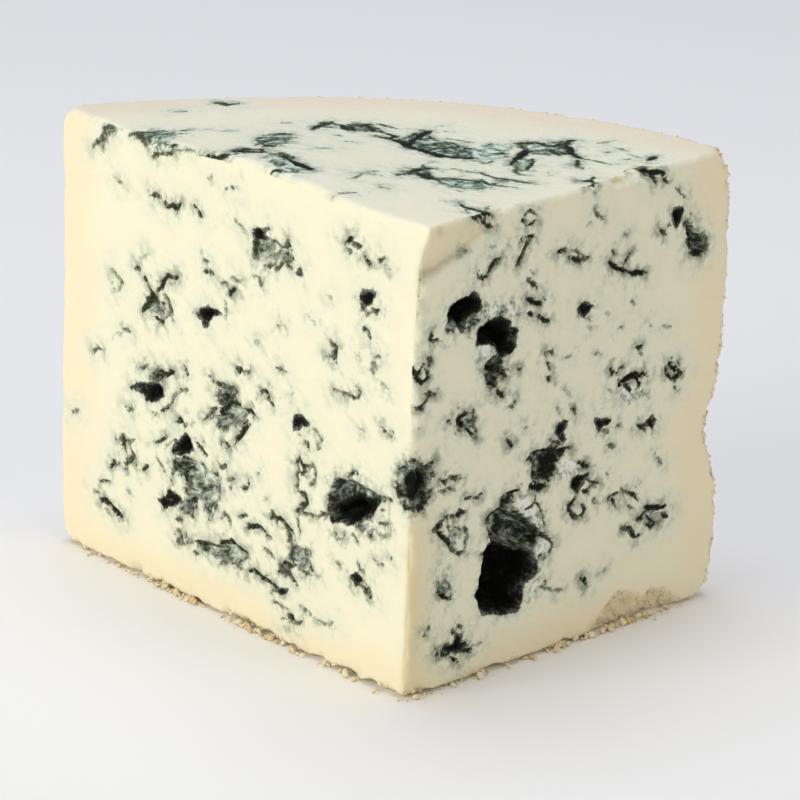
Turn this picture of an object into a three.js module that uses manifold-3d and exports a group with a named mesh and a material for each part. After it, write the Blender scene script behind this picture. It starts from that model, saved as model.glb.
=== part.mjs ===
// Wedge of blue cheese from a round wheel. Two knife-cut sides meet at an upright tip edge, a third
// cut makes the top, and the bowed rim behind and the foot below are rind. Mould has eaten pockets
// into the cuts. Millimetres, +Z up, tip towards -Y. The origin is at the foot, in the middle of the
// box round the wedge.
import * as THREE from "three";
import { mergeVertices } from "three/addons/utils/BufferGeometryUtils.js";
import Module from "manifold-3d";

const wasm = await Module();
wasm.setup();

// Driving dimensions
const tipHeight = 83;
const leftHeight = 83;
const rightHeight = 84;
const leftLength = 100.6;
const rightLength = 78.4;
const tipAngle = THREE.MathUtils.degToRad(85.6);
const rimBulge = 23; // how far the rim bows past the straight line between its ends
const cutEdge = 1.4; // rounding of the knife-cut edges
const rindEdge = 5; // rounding where the rim turns under to the foot
const tipLean = 1.3; // the tip edge leans to the right by this much at the top
const cell = 6; // size of the facets on the plain faces
const edgeRow = 1.2; // the outer rows of facets, as a multiple of the edge rounding
const weld = 1e-4; // points closer than this are one

// A hollow's wall is uneven, by waves over its round shape, and a wide hollow has finer facets.
const hollowWall = { amount: 0.2, x: 3.1, y: 2.7, z: 4.3, fineFrom: 9 };

// The top cut is crowned beside the left side.
const crown = { height: 2.2, out: 42, across: 4, spread: 24 };

// The rind swells and dips over its height where it meets the right side, and this fades along the rim.
const rimFade = 0.68;
const rimSwells = [
  { up: 60, amount: 1.7, spread: 18 },
  { up: 33, amount: -3.0, spread: 7 },
  { up: 15, amount: 1.8, spread: 9 },
];

// The rest of the rind undulates gently.
const rindWave = { amount: 0.7, along: 5.2, up: 41, fold: 20.5 };

// Mould pockets on a side are placed by the distance out from the tip edge and the height up.
const leftPockets = [
  { out: 15, up: 32, wide: 15, tall: 11, deep: 8, turn: 10 },
  { out: 38, up: 71, wide: 11, tall: 8, deep: 4, turn: 15 },
  { out: 71, up: 55, wide: 7, tall: 10, deep: 3, turn: 25 },
  { out: 55.5, up: 55, wide: 6.5, tall: 3.5, deep: 3, turn: 0 },
  { out: 72, up: 37, wide: 9.5, tall: 6, deep: 4, turn: 15 },
  { out: 49, up: 39, wide: 11.5, tall: 9, deep: 4, turn: -20 },
  { out: 62.5, up: 28.5, wide: 7, tall: 5, deep: 4, turn: 0 },
  { out: 57.5, up: 23, wide: 13, tall: 8.5, deep: 3.5, turn: 10 },
  { out: 66, up: 18, wide: 6.5, tall: 4.5, deep: 3, turn: 0 },
  { out: 51, up: 12, wide: 14, tall: 4.5, deep: 3.5, turn: 4 },
  { out: 30, up: 18.5, wide: 7.5, tall: 9, deep: 2.5, turn: 20 },
];
const rightPockets = [
  { out: 12, up: 67, wide: 8.5, tall: 7, deep: 6, turn: 35 },
  { out: 20, up: 61, wide: 10, tall: 7, deep: 7, turn: 0 },
  { out: 21, up: 54, wide: 4.5, tall: 9, deep: 3, turn: 5 },
  { out: 12.5, up: 47.5, wide: 6, tall: 5, deep: 3, turn: 0 },
  { out: 2, up: 39, wide: 10, tall: 9, deep: 5, turn: 0 },
  { out: 11, up: 28.5, wide: 9, tall: 7.5, deep: 2.5, turn: -15 },
  { out: 26, up: 19.5, wide: 11.5, tall: 12, deep: 9, turn: 0 },
  { out: 23.5, up: 12.5, wide: 10, tall: 6, deep: 7, turn: 0 },
  { out: 25.5, up: 28, wide: 9, tall: 8, deep: 5, turn: 30 },
  { out: 34, up: 35.5, wide: 9.5, tall: 8.5, deep: 5, turn: 20 },
  { out: 43, up: 30, wide: 6.5, tall: 5, deep: 4, turn: 0 },
  { out: 65, up: 73.5, wide: 4.5, tall: 5, deep: 3.5, turn: 0 },
  { out: 69.5, up: 69, wide: 5, tall: 6.5, deep: 3.5, turn: 0 },
  { out: 60, up: 19, wide: 13, tall: 4.5, deep: 3, turn: 5 },
  { out: 12, up: 7, wide: 7, tall: 6, deep: 3, turn: 45 },
];

// On the top, out runs along the left side and up along the right side.
const topPockets = [
  { out: 44, up: 38, wide: 21, tall: 6.5, deep: 5, turn: 5 },
  { out: 27, up: 44, wide: 6, tall: 15, deep: 3, turn: 0 },
  { out: 19, up: 29, wide: 18, tall: 5.5, deep: 3, turn: -37 },
  { out: 59, up: 32, wide: 8, tall: 7, deep: 2.5, turn: -40 },
  { out: 74, up: 1, wide: 17, tall: 7, deep: 3.5, turn: 0 },
];

// Crumbs have broken off the foot of the right side, and a flake off its upper edge.
const rightChips = [
  { out: 51, up: 0, wide: 15, tall: 6, deep: 4, turn: 0 },
  { out: 60, up: 0, wide: 15, tall: 10, deep: 6, turn: 0 },
  { out: 53, up: 85, wide: 21, tall: 7, deep: 4, turn: 0 },
];

// Plan of the wedge, with the tip at zero and the line halfway between the sides along +Y
const half = tipAngle / 2;
const leftWay = new THREE.Vector2(-Math.sin(half), Math.cos(half));
const rightWay = new THREE.Vector2(Math.sin(half), Math.cos(half));
const leftEnd = leftWay.clone().multiplyScalar(leftLength);
const rightEnd = rightWay.clone().multiplyScalar(rightLength);
const chord = rightEnd.clone().sub(leftEnd);
const rimRadius = chord.length() ** 2 / (8 * rimBulge) + rimBulge / 2;
const rimWay = new THREE.Vector2(-chord.y, chord.x).normalize();
const chordMiddle = leftEnd.clone().add(rightEnd).multiplyScalar(0.5);
const rimCentre = chordMiddle.addScaledVector(rimWay, rimBulge - rimRadius);
const rimStart = leftEnd.clone().sub(rimCentre).angle();
const rimSpan = rimStart - rightEnd.clone().sub(rimCentre).angle();

// A point of the rim, from the left end at 0 to the right end at 1
function rimPoint(part) {
  const angle = rimStart - part * rimSpan;
  return new THREE.Vector2(Math.cos(angle), Math.sin(angle)).multiplyScalar(rimRadius).add(rimCentre);
}

// A Coons patch over the plan: u runs along the left side and v along the right side.
function planPoint(u, v) {
  const point = new THREE.Vector2();
  point.addScaledVector(leftEnd, u * (1 - v)).addScaledVector(rimPoint(1 - u / 2), v);
  point.addScaledVector(rightEnd, v * (1 - u)).addScaledVector(rimPoint(v / 2), u);
  point.addScaledVector(leftEnd, -u * (1 - v)).addScaledVector(rightEnd, -v * (1 - u));
  return point.addScaledVector(rimPoint(0.5), -u * v);
}

function bell(distance, spread) {
  return Math.exp(-((distance / spread) ** 2));
}

// Distances along the two sides of a point of the plan
function sideDistances(x, y) {
  const sum = y / Math.cos(half);
  const difference = x / Math.sin(half);
  return { out: (sum - difference) / 2, across: (sum + difference) / 2 };
}

function topHeight(x, y) {
  const { out, across } = sideDistances(x, y);
  const leftRise = (out / leftLength) * (leftHeight - tipHeight);
  const rightRise = (across / rightLength) * (rightHeight - tipHeight);
  const fromCrown = Math.hypot(out - crown.out, across - crown.across);
  return tipHeight + leftRise + rightRise + crown.height * bell(fromCrown, crown.spread);
}

function rindOffset(x, y, z) {
  const angle = Math.atan2(y - rimCentre.y, x - rimCentre.x);
  const part = (rimStart - angle) / rimSpan;
  const nearRight = THREE.MathUtils.smoothstep(part, rimFade, 1);
  const along = Math.sin(rindWave.along * Math.PI * part + z / rindWave.up);
  const wave = along * Math.cos(z / rindWave.fold + part);
  const swell = rimSwells.reduce((sum, s) => sum + s.amount * bell(z - s.up, s.spread), 0);
  return nearRight * swell + (1 - nearRight) * rindWave.amount * wave;
}

// The largest of some depths, with the edges between them rounded
function roundedMax(depths, radius) {
  const beyond = Math.hypot(...depths.map((d) => Math.max(d + radius, 0)));
  return Math.min(-radius, Math.max(...depths)) + beyond;
}

// How far a point is outside the wedge
function outside({ x, y, z }) {
  const leaned = x - tipLean * (z / tipHeight) * Math.max(0, 1 - y / leftEnd.y);
  const left = -leaned * leftWay.y + y * leftWay.x;
  const right = leaned * rightWay.y - y * rightWay.x;
  const rim = Math.hypot(x - rimCentre.x, y - rimCentre.y) - rimRadius - rindOffset(x, y, z);
  const rind = roundedMax([rim, -z], rindEdge);
  return roundedMax([rind, left, right, z - topHeight(x, y)], cutEdge);
}

// Moves a point straight onto the wedge's surface
function settle(point) {
  const step = 0.01;
  const steps = 5;
  const axes = ["x", "y", "z"];
  for (let n = 0; n < steps; n += 1) {
    const depth = outside(point);
    const slope = new THREE.Vector3();
    for (const axis of axes) {
      const ahead = point.clone();
      ahead[axis] += step;
      const behind = point.clone();
      behind[axis] -= step;
      slope[axis] = (outside(ahead) - outside(behind)) / (2 * step);
    }
    point.addScaledVector(slope, -depth / slope.lengthSq());
  }
  return point;
}

// The share of a length at one of its evenly spaced rows, with the outer rows close to the edges
function rowShare(row, rows, length) {
  const margin = edgeRow * cutEdge;
  if (row === 0 || row === rows) return row / rows;
  return (margin + ((row - 1) / (rows - 2)) * (length - 2 * margin)) / length;
}

// The plain wedge: a box of cells, its base laid over the plan, settled onto the wedge's surface
function wedgeGeometry() {
  const acrossRows = Math.round(rightLength / cell);
  const outRows = Math.round(leftLength / cell);
  const upRows = Math.round(tipHeight / cell);
  const geometry = new THREE.BoxGeometry(1, 1, 1, acrossRows, outRows, upRows);
  const position = geometry.attributes.position;
  for (let i = 0; i < position.count; i += 1) {
    const across = rowShare(Math.round((position.getX(i) + 0.5) * acrossRows), acrossRows, rightLength);
    const out = rowShare(Math.round((position.getY(i) + 0.5) * outRows), outRows, leftLength);
    const up = rowShare(Math.round((position.getZ(i) + 0.5) * upRows), upRows, tipHeight);
    const plan = planPoint(out, across);
    const point = settle(new THREE.Vector3(plan.x, plan.y, up * topHeight(plan.x, plan.y)));
    position.setXYZ(i, point.x, point.y, point.z);
  }
  return geometry;
}

// The axes of a face: along it, up it and through it
const sideUp = new THREE.Vector3(0, 0, 1);
const leftAlong = new THREE.Vector3(leftWay.x, leftWay.y, 0);
const rightAlong = new THREE.Vector3(rightWay.x, rightWay.y, 0);
const topUp = new THREE.Vector3().crossVectors(leftAlong, sideUp);

function sideFrame(along, out, up) {
  const through = new THREE.Vector3().crossVectors(along, sideUp);
  const frame = new THREE.Matrix4().makeBasis(along, sideUp, through);
  return frame.setPosition(along.x * out, along.y * out, up);
}

function topFrame(out, across) {
  const place = leftAlong.clone().multiplyScalar(out).addScaledVector(rightAlong, across);
  const through = new THREE.Vector3().crossVectors(leftAlong, topUp);
  const frame = new THREE.Matrix4().makeBasis(leftAlong, topUp, through);
  return frame.setPosition(place.x, place.y, topHeight(place.x, place.y));
}

// A hollow is an uneven lump with its middle on the face.
function hollowGeometry({ wide, tall, deep, turn }, frame, number) {
  const geometry = new THREE.IcosahedronGeometry(1, wide > hollowWall.fineFrom ? 2 : 1);
  const position = geometry.attributes.position;
  const way = new THREE.Vector3();
  for (let i = 0; i < position.count; i += 1) {
    way.fromBufferAttribute(position, i);
    const sideways = Math.sin(hollowWall.x * way.x + 2 * number) * Math.cos(hollowWall.y * way.y - number);
    const inwards = Math.sin(hollowWall.z * way.z + number) / 2;
    way.multiplyScalar(1 + hollowWall.amount * (sideways + inwards));
    position.setXYZ(i, way.x, way.y, way.z);
  }
  geometry.scale(wide / 2, tall / 2, deep);
  geometry.rotateZ(THREE.MathUtils.degToRad(turn));
  return geometry.applyMatrix4(frame);
}

function solidOf(geometry) {
  geometry.deleteAttribute("normal");
  geometry.deleteAttribute("uv");
  const merged = mergeVertices(geometry, weld);
  const vertProperties = new Float32Array(merged.attributes.position.array);
  const triVerts = new Uint32Array(merged.index.array);
  return new wasm.Manifold(new wasm.Mesh({ numProp: 3, vertProperties, triVerts }));
}

function geometryOf(solid) {
  const mesh = solid.getMesh();
  const geometry = new THREE.BufferGeometry();
  geometry.setAttribute("position", new THREE.BufferAttribute(mesh.vertProperties, 3));
  geometry.setIndex(new THREE.BufferAttribute(mesh.triVerts, 1));
  return geometry;
}

// Cut every hollow out of the plain wedge
const hollows = [
  ...leftPockets.map((pocket) => [pocket, sideFrame(leftAlong, pocket.out, pocket.up)]),
  ...rightPockets.map((pocket) => [pocket, sideFrame(rightAlong, pocket.out, pocket.up)]),
  ...topPockets.map((pocket) => [pocket, topFrame(pocket.out, pocket.up)]),
  ...rightChips.map((chip) => [chip, sideFrame(rightAlong, chip.out, chip.up)]),
];
let cheese = solidOf(wedgeGeometry());
hollows.forEach(([hollow, frame], number) => {
  cheese = cheese.subtract(solidOf(hollowGeometry(hollow, frame, number)));
});

// Centre the wedge over its foot
const wedge = geometryOf(cheese);
wedge.computeBoundingBox();
const middle = wedge.boundingBox.getCenter(new THREE.Vector3());
wedge.translate(-middle.x, -middle.y, -wedge.boundingBox.min.z);
wedge.computeVertexNormals();

const paste = new THREE.MeshStandardMaterial({ color: 0xf3e8c6, roughness: 0.55, metalness: 0 });
const mesh = new THREE.Mesh(wedge, paste);
mesh.name = "cheese_wedge";

const group = new THREE.Group();
group.add(mesh);

export default group;
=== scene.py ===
import math

import bpy
import numpy as np
from mathutils import Matrix, Vector


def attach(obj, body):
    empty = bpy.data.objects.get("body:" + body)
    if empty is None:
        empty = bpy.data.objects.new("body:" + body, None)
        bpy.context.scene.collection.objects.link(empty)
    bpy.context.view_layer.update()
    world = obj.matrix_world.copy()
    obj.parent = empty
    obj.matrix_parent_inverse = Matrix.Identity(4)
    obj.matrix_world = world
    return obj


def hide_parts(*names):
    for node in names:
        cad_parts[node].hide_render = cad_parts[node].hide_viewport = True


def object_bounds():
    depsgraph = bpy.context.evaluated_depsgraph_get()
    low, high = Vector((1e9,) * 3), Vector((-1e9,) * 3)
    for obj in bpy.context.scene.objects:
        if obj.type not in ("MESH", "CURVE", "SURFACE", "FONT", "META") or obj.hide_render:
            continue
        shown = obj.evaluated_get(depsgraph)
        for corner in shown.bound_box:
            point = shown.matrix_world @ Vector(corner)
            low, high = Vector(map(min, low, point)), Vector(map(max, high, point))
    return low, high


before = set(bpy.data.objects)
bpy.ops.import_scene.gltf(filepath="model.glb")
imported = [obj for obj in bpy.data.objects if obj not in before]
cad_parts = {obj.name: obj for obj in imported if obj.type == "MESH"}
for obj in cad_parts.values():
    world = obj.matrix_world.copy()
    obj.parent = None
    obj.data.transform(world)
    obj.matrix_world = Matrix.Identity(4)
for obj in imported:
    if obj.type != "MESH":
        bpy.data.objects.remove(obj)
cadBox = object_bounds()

metre = 1000.0  # sizes below are in millimetres, meshes in metres

# Wedge: the plain form, from the foot of the tip edge, with +Y halfway between the cut sides
wedge = {
    "tipHeight": 83.0,
    "leftHeight": 83.0,
    "rightHeight": 84.0,
    "leftLength": 100.6,
    "rightLength": 78.4,
    "tipAngle": 85.6,
    "rimBulge": 23.0,
    "cutEdge": 1.4,   # radius of the round along the edges of the cuts
    "rindEdge": 5.0,  # and at the foot of the rind
    "tipLean": 1.3,   # of the tip edge to the right, at the top
    "crown": {"height": 2.2, "out": 42.0, "across": 4.0, "spread": 24.0},
    "rimFade": 0.68,  # part of the rim from which its swells grow
    "rimSwells": [(60.0, 1.7, 18.0), (33.0, -3.0, 7.0), (15.0, 1.8, 9.0)],  # up, amount, spread
    "rindWave": {"amount": 0.7, "along": 5.2, "up": 41.0, "fold": 20.5},
    "cutCell": 0.5,   # mesh spacing on the cuts
    "rimCell": 1.3,   # on the rim
    "footCell": 2.2,  # and underneath
}

half = math.radians(wedge["tipAngle"]) / 2
leftWay = np.array([-math.sin(half), math.cos(half)])
rightWay = np.array([math.sin(half), math.cos(half)])
leftEnd = leftWay * wedge["leftLength"]
rightEnd = rightWay * wedge["rightLength"]
chord = rightEnd - leftEnd
chordLength = np.linalg.norm(chord)
rimRadius = chordLength ** 2 / (8 * wedge["rimBulge"]) + wedge["rimBulge"] / 2
rimWay = np.array([-chord[1], chord[0]]) / chordLength
rimCentre = (leftEnd + rightEnd) / 2 + rimWay * (wedge["rimBulge"] - rimRadius)
rimStart = math.atan2(leftEnd[1] - rimCentre[1], leftEnd[0] - rimCentre[0])
rimSpan = rimStart - math.atan2(rightEnd[1] - rimCentre[1], rightEnd[0] - rimCentre[0])


# The rim is one arc: part runs along it from the left end at 0 to the right end at 1.
def rimPoint(part):
    angle = rimStart - np.asarray(part) * rimSpan
    return rimCentre + rimRadius * np.stack([np.cos(angle), np.sin(angle)], -1)


# Coons patch over the plan: the blends of its two pairs of edges, less the blend of its corners
def planPoint(u, v):
    a = u[:, None]
    b = v[:, None]
    alongOut = leftEnd * a * (1 - b) + rimPoint(1 - u / 2) * b
    alongAcross = rightEnd * b * (1 - a) + rimPoint(v / 2) * a
    corners = leftEnd * a * (1 - b) + rightEnd * b * (1 - a) + rimPoint(0.5) * a * b
    return alongOut + alongAcross - corners


# Bell curve: e to the minus square of distance over spread
def bell(distance, spread):
    return np.exp(-(distance / spread) ** 2)


# Eased step from 0 at low to 1 at high
def smoothStep(value, low, high):
    share = np.clip((value - low) / (high - low), 0, 1)
    return share * share * (3 - 2 * share)


# Distances out along the left side and across along the right side of points of the plan
def sideDistances(x, y):
    total = y / math.cos(half)
    difference = x / math.sin(half)
    return (total - difference) / 2, (total + difference) / 2


# The top is a plane through its three corners, with a bell-shaped crown beside the left side.
def topHeight(x, y):
    out, across = sideDistances(x, y)
    rise = out / wedge["leftLength"] * (wedge["leftHeight"] - wedge["tipHeight"])
    rise = rise + across / wedge["rightLength"] * (wedge["rightHeight"] - wedge["tipHeight"])
    crown = wedge["crown"]
    fromCrown = np.hypot(out - crown["out"], across - crown["across"])
    return wedge["tipHeight"] + rise + crown["height"] * bell(fromCrown, crown["spread"])


# The rind leaves its arc by a product of two waves, and near the right side by swells over its height.
def rindOffset(x, y, z):
    part = (rimStart - np.arctan2(y - rimCentre[1], x - rimCentre[0])) / rimSpan
    nearRight = smoothStep(part, wedge["rimFade"], 1.0)
    rindWave = wedge["rindWave"]
    along = np.sin(rindWave["along"] * math.pi * part + z / rindWave["up"])
    wave = along * np.cos(z / rindWave["fold"] + part)
    swell = sum(amount * bell(z - up, spread) for up, amount, spread in wedge["rimSwells"])
    return nearRight * swell + (1 - nearRight) * rindWave["amount"] * wave


# How far points lie outside the left cut, the right cut, the rim, the foot and the top
def faceDepths(points):
    x, y, z = points.T
    leaned = x - wedge["tipLean"] * z / wedge["tipHeight"] * np.maximum(0, 1 - y / leftEnd[1])
    left = -leaned * leftWay[1] + y * leftWay[0]
    right = leaned * rightWay[1] - y * rightWay[0]
    rim = np.hypot(x - rimCentre[0], y - rimCentre[1]) - rimRadius - rindOffset(x, y, z)
    return left, right, rim, -z, z - topHeight(x, y)


# The largest of some depths, with a round of the given radius where two of them meet
def roundedMax(depths, radius):
    depths = np.stack(depths)
    beyond = np.sqrt((np.maximum(depths + radius, 0) ** 2).sum(0))
    return np.minimum(-radius, depths.max(0)) + beyond


# How far points lie outside the wedge: the depths of its faces, rounded together
def outside(points):
    left, right, rim, foot, top = faceDepths(points)
    rind = roundedMax([rim, foot], wedge["rindEdge"])
    return roundedMax([rind, left, right, top], wedge["cutEdge"])


# Slope of that, from differences to both sides
def outwardSlope(points):
    step = 0.01
    moves = np.eye(3) * step
    return np.stack([outside(points + m) - outside(points - m) for m in moves], -1) / (2 * step)


# Newton steps along the slope bring points straight onto the wedge's surface.
def settle(points):
    for turn in range(5):
        slope = outwardSlope(points)
        points = points - slope * (outside(points) / (slope ** 2).sum(-1))[:, None]
    return points


# Random values at the corners of a lattice of the given size, eased between them, from -1 to 1. The large
# numbers scramble a corner's place and the seed.
def unevenness(points, size, seed):
    place = points / size
    corner = np.floor(place).astype(np.int64)
    share = place - corner
    share = share * share * (3 - 2 * share)
    total = np.zeros(len(points))
    for step in np.ndindex(2, 2, 2):
        cell = corner + np.array(step)
        key = cell[:, 0] * 73856093 ^ cell[:, 1] * 19349663 ^ cell[:, 2] * 83492791 ^ seed * 26544357
        key = (key & 0xFFFFFFFF) * 1274126177 & 0xFFFFFFFF
        key = ((key >> 15) ^ key) * 668265263 & 0xFFFFFFFF
        value = (key >> 8) / 2.0 ** 23 - 1
        total += value * np.prod(np.where(step, share, 1 - share), 1)
    return total


# Every vertex of the shell has a place in a box: u along the left side, v along the right side, w up.
# Seen from outside, a grid's first index runs to the right and its second up.
places = []
quads = []
triangles = []


# A grid of places, numbered on from those before it
def addPlaces(u, v, w):
    grids = np.broadcast_arrays(u, v, w)
    first = sum(len(block) for block in places)
    places.append(np.stack(grids, -1).reshape(-1, 3))
    return first + np.arange(grids[0].size).reshape(grids[0].shape)


# Each cell of a grid becomes a quad.
def fillGrid(index):
    corners = [index[:-1, :-1], index[1:, :-1], index[1:, 1:], index[:-1, 1:]]
    quads.append(np.stack(corners, -1).reshape(-1, 4))


# The loop round a grid, with each vertex's share of the way round, from 0 to 4
def gridLoop(index):
    sides = [index[:, 0], index[-1, :], index[::-1, -1], index[0, ::-1]]
    shares = [number + np.linspace(0, 1, len(side))[:-1] for number, side in enumerate(sides)]
    return np.concatenate([side[:-1] for side in sides]), np.concatenate(shares)


# Two loops, one round the other, are joined by a triangle for each vertex, in the order of their shares.
def zipLoops(outer, outerShare, inner, innerShare):
    ends = np.concatenate([outerShare[1:], [4.0], innerShare[1:], [4.0]])
    onOuter = (np.arange(len(ends)) < len(outer))[np.argsort(ends, kind="stable")]
    i = np.cumsum(onOuter) - onOuter
    j = np.cumsum(~onOuter) - ~onOuter
    third = np.where(onOuter, outer[(i + 1) % len(outer)], inner[(j + 1) % len(inner)])
    triangles.append(np.stack([outer[i % len(outer)], third, inner[j % len(inner)]], -1))


# Shares from 0 to 1, about a cell apart
def evenShares(length, cell):
    return np.linspace(0, 1, int(round(length / cell)) + 1)


outShare = evenShares(wedge["leftLength"], wedge["cutCell"])
acrossShare = evenShares(wedge["rightLength"], wedge["cutCell"])
upShare = evenShares(wedge["tipHeight"], wedge["cutCell"])
leftGrid = addPlaces(outShare[::-1, None], 0.0, upShare[None, :])
rightGrid = addPlaces(0.0, acrossShare[:, None], upShare[None, :])
topGrid = addPlaces(outShare[None, :], acrossShare[:, None], 1.0)
fillGrid(leftGrid)
fillGrid(rightGrid)
fillGrid(topGrid)

# The rim goes from the right end along v = 1 to its middle, and along u = 1 to the left end.
halfRim = evenShares(rimRadius * rimSpan / 2, wedge["rimCell"])
rimU = np.concatenate([halfRim, np.ones(len(halfRim) - 1)])
rimV = np.concatenate([np.ones(len(halfRim)), halfRim[-2::-1]])
rimPart = np.linspace(0, 1, len(rimU))
rimUp = evenShares(wedge["tipHeight"], wedge["rimCell"])
rimGrid = addPlaces(rimU[1:-1, None], rimV[1:-1, None], rimUp[None, 1:-1])
rimFoot = addPlaces(rimU, rimV, 0.0)
fillGrid(rimGrid)
topBack = np.concatenate([topGrid[:, -1], topGrid[-1, -2::-1]])
topBackPart = np.concatenate([acrossShare / 2, 1 - outShare[-2::-1] / 2])
rimLoop = [rimFoot[:-1], leftGrid[0, :-1], topBack[:-1], rightGrid[-1, :0:-1]]
rimLoopShare = [rimPart[:-1], 1 + upShare[:-1], 2 + topBackPart[:-1], 4 - upShare[:0:-1]]
zipLoops(np.concatenate(rimLoop), np.concatenate(rimLoopShare), *gridLoop(rimGrid))

# The foot is seen from below, with u to the right and v up.
footU = evenShares(wedge["leftLength"], wedge["footCell"])[1:-1]
footV = evenShares(wedge["rightLength"], wedge["footCell"])[1:-1]
footGrid = addPlaces(footU[:, None], footV[None, :], 0.0)
fillGrid(footGrid)
footLoop = [leftGrid[:0:-1, 0], rimFoot[:0:-1], rightGrid[:0:-1, 0]]
footLoopShare = [outShare[:-1], 1 + 2 * rimPart[:-1], 4 - acrossShare[:0:-1]]
zipLoops(np.concatenate(footLoop), np.concatenate(footLoopShare), *gridLoop(footGrid))

# Grids that meet share the places along their border, and are welded there.
places, weld = np.unique(np.round(np.concatenate(places), 9), axis=0, return_inverse=True)
weld = weld.reshape(-1)
quads = weld[np.concatenate(quads)]
triangles = weld[np.concatenate(triangles)]
plan = planPoint(places[:, 0], places[:, 1])
plain = np.column_stack([plan, places[:, 2] * topHeight(plan[:, 0], plan[:, 1])])
plain = settle(plain)
outward = outwardSlope(plain)
outward /= np.linalg.norm(outward, axis=1)[:, None]
middle = np.append((plain.min(0) + plain.max(0))[:2] / 2, 0.0)
print("wedge: plain shell,", len(plain), "vertices, middle", middle.round(3))

# Relief of the cuts and the rind, in millimetres. It is cut inwards but for one raised corner, and the wedge
# stays inside its box.
relief = {
    "cut": [(16.0, 0.16), (5.0, 0.09), (1.7, 0.05)],  # size and depth of the unevenness of a cut face
    "rind": [(9.0, 0.18), (3.2, 0.14)],
    "wander": [(3.0, 0.35), (1.2, 0.18)],             # size and reach by which the marks' outlines wander
    "bits": [(3.3, 1.0), (1.4, 0.6)],                 # size and share of the crumbling of the edges
    "rimBits": [(2.6, 1.0), (1.2, 0.8)],              # at the rind
    "tipBits": [(6.5, 0.9), (2.2, 0.5)],              # and at the tip edge
    "swell": [(1.9, 0.35), (0.9, 0.25)],              # of a vein's width
    "pitRough": [(1.5, 0.25), (3.4, 0.2)],            # of the floor of a pit
    "edgeWear": (0.35, 1.3),                          # depth and spread of the wear of the edges
    "rimCrumble": (2.0, 1.5),
    "backWear": (0.8, 1.5),
    "tipWear": (0.9, 2.0),
    "footCrumble": 0.9,
    "skin": 1.2,                                      # how far under a face its marks reach
    "around": 6.0,                                    # how far round a mark its distance is worked out
    "keep": 2.2,                                      # from an edge, where marks reach their full depth
    "holeSlope": (-0.2, 2.4),                         # from the outline to the floor
    "patchSlope": (-0.3, 1.8),
    "strokeHalf": 0.4,                                # half a vein's width, as a share of its row's
    "strokeEnd": 0.55,                                # what its ends keep of that
    "strokeDeep": (0.3, 0.7),                         # depth of a faint one, and how much more by how dark
}

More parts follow.
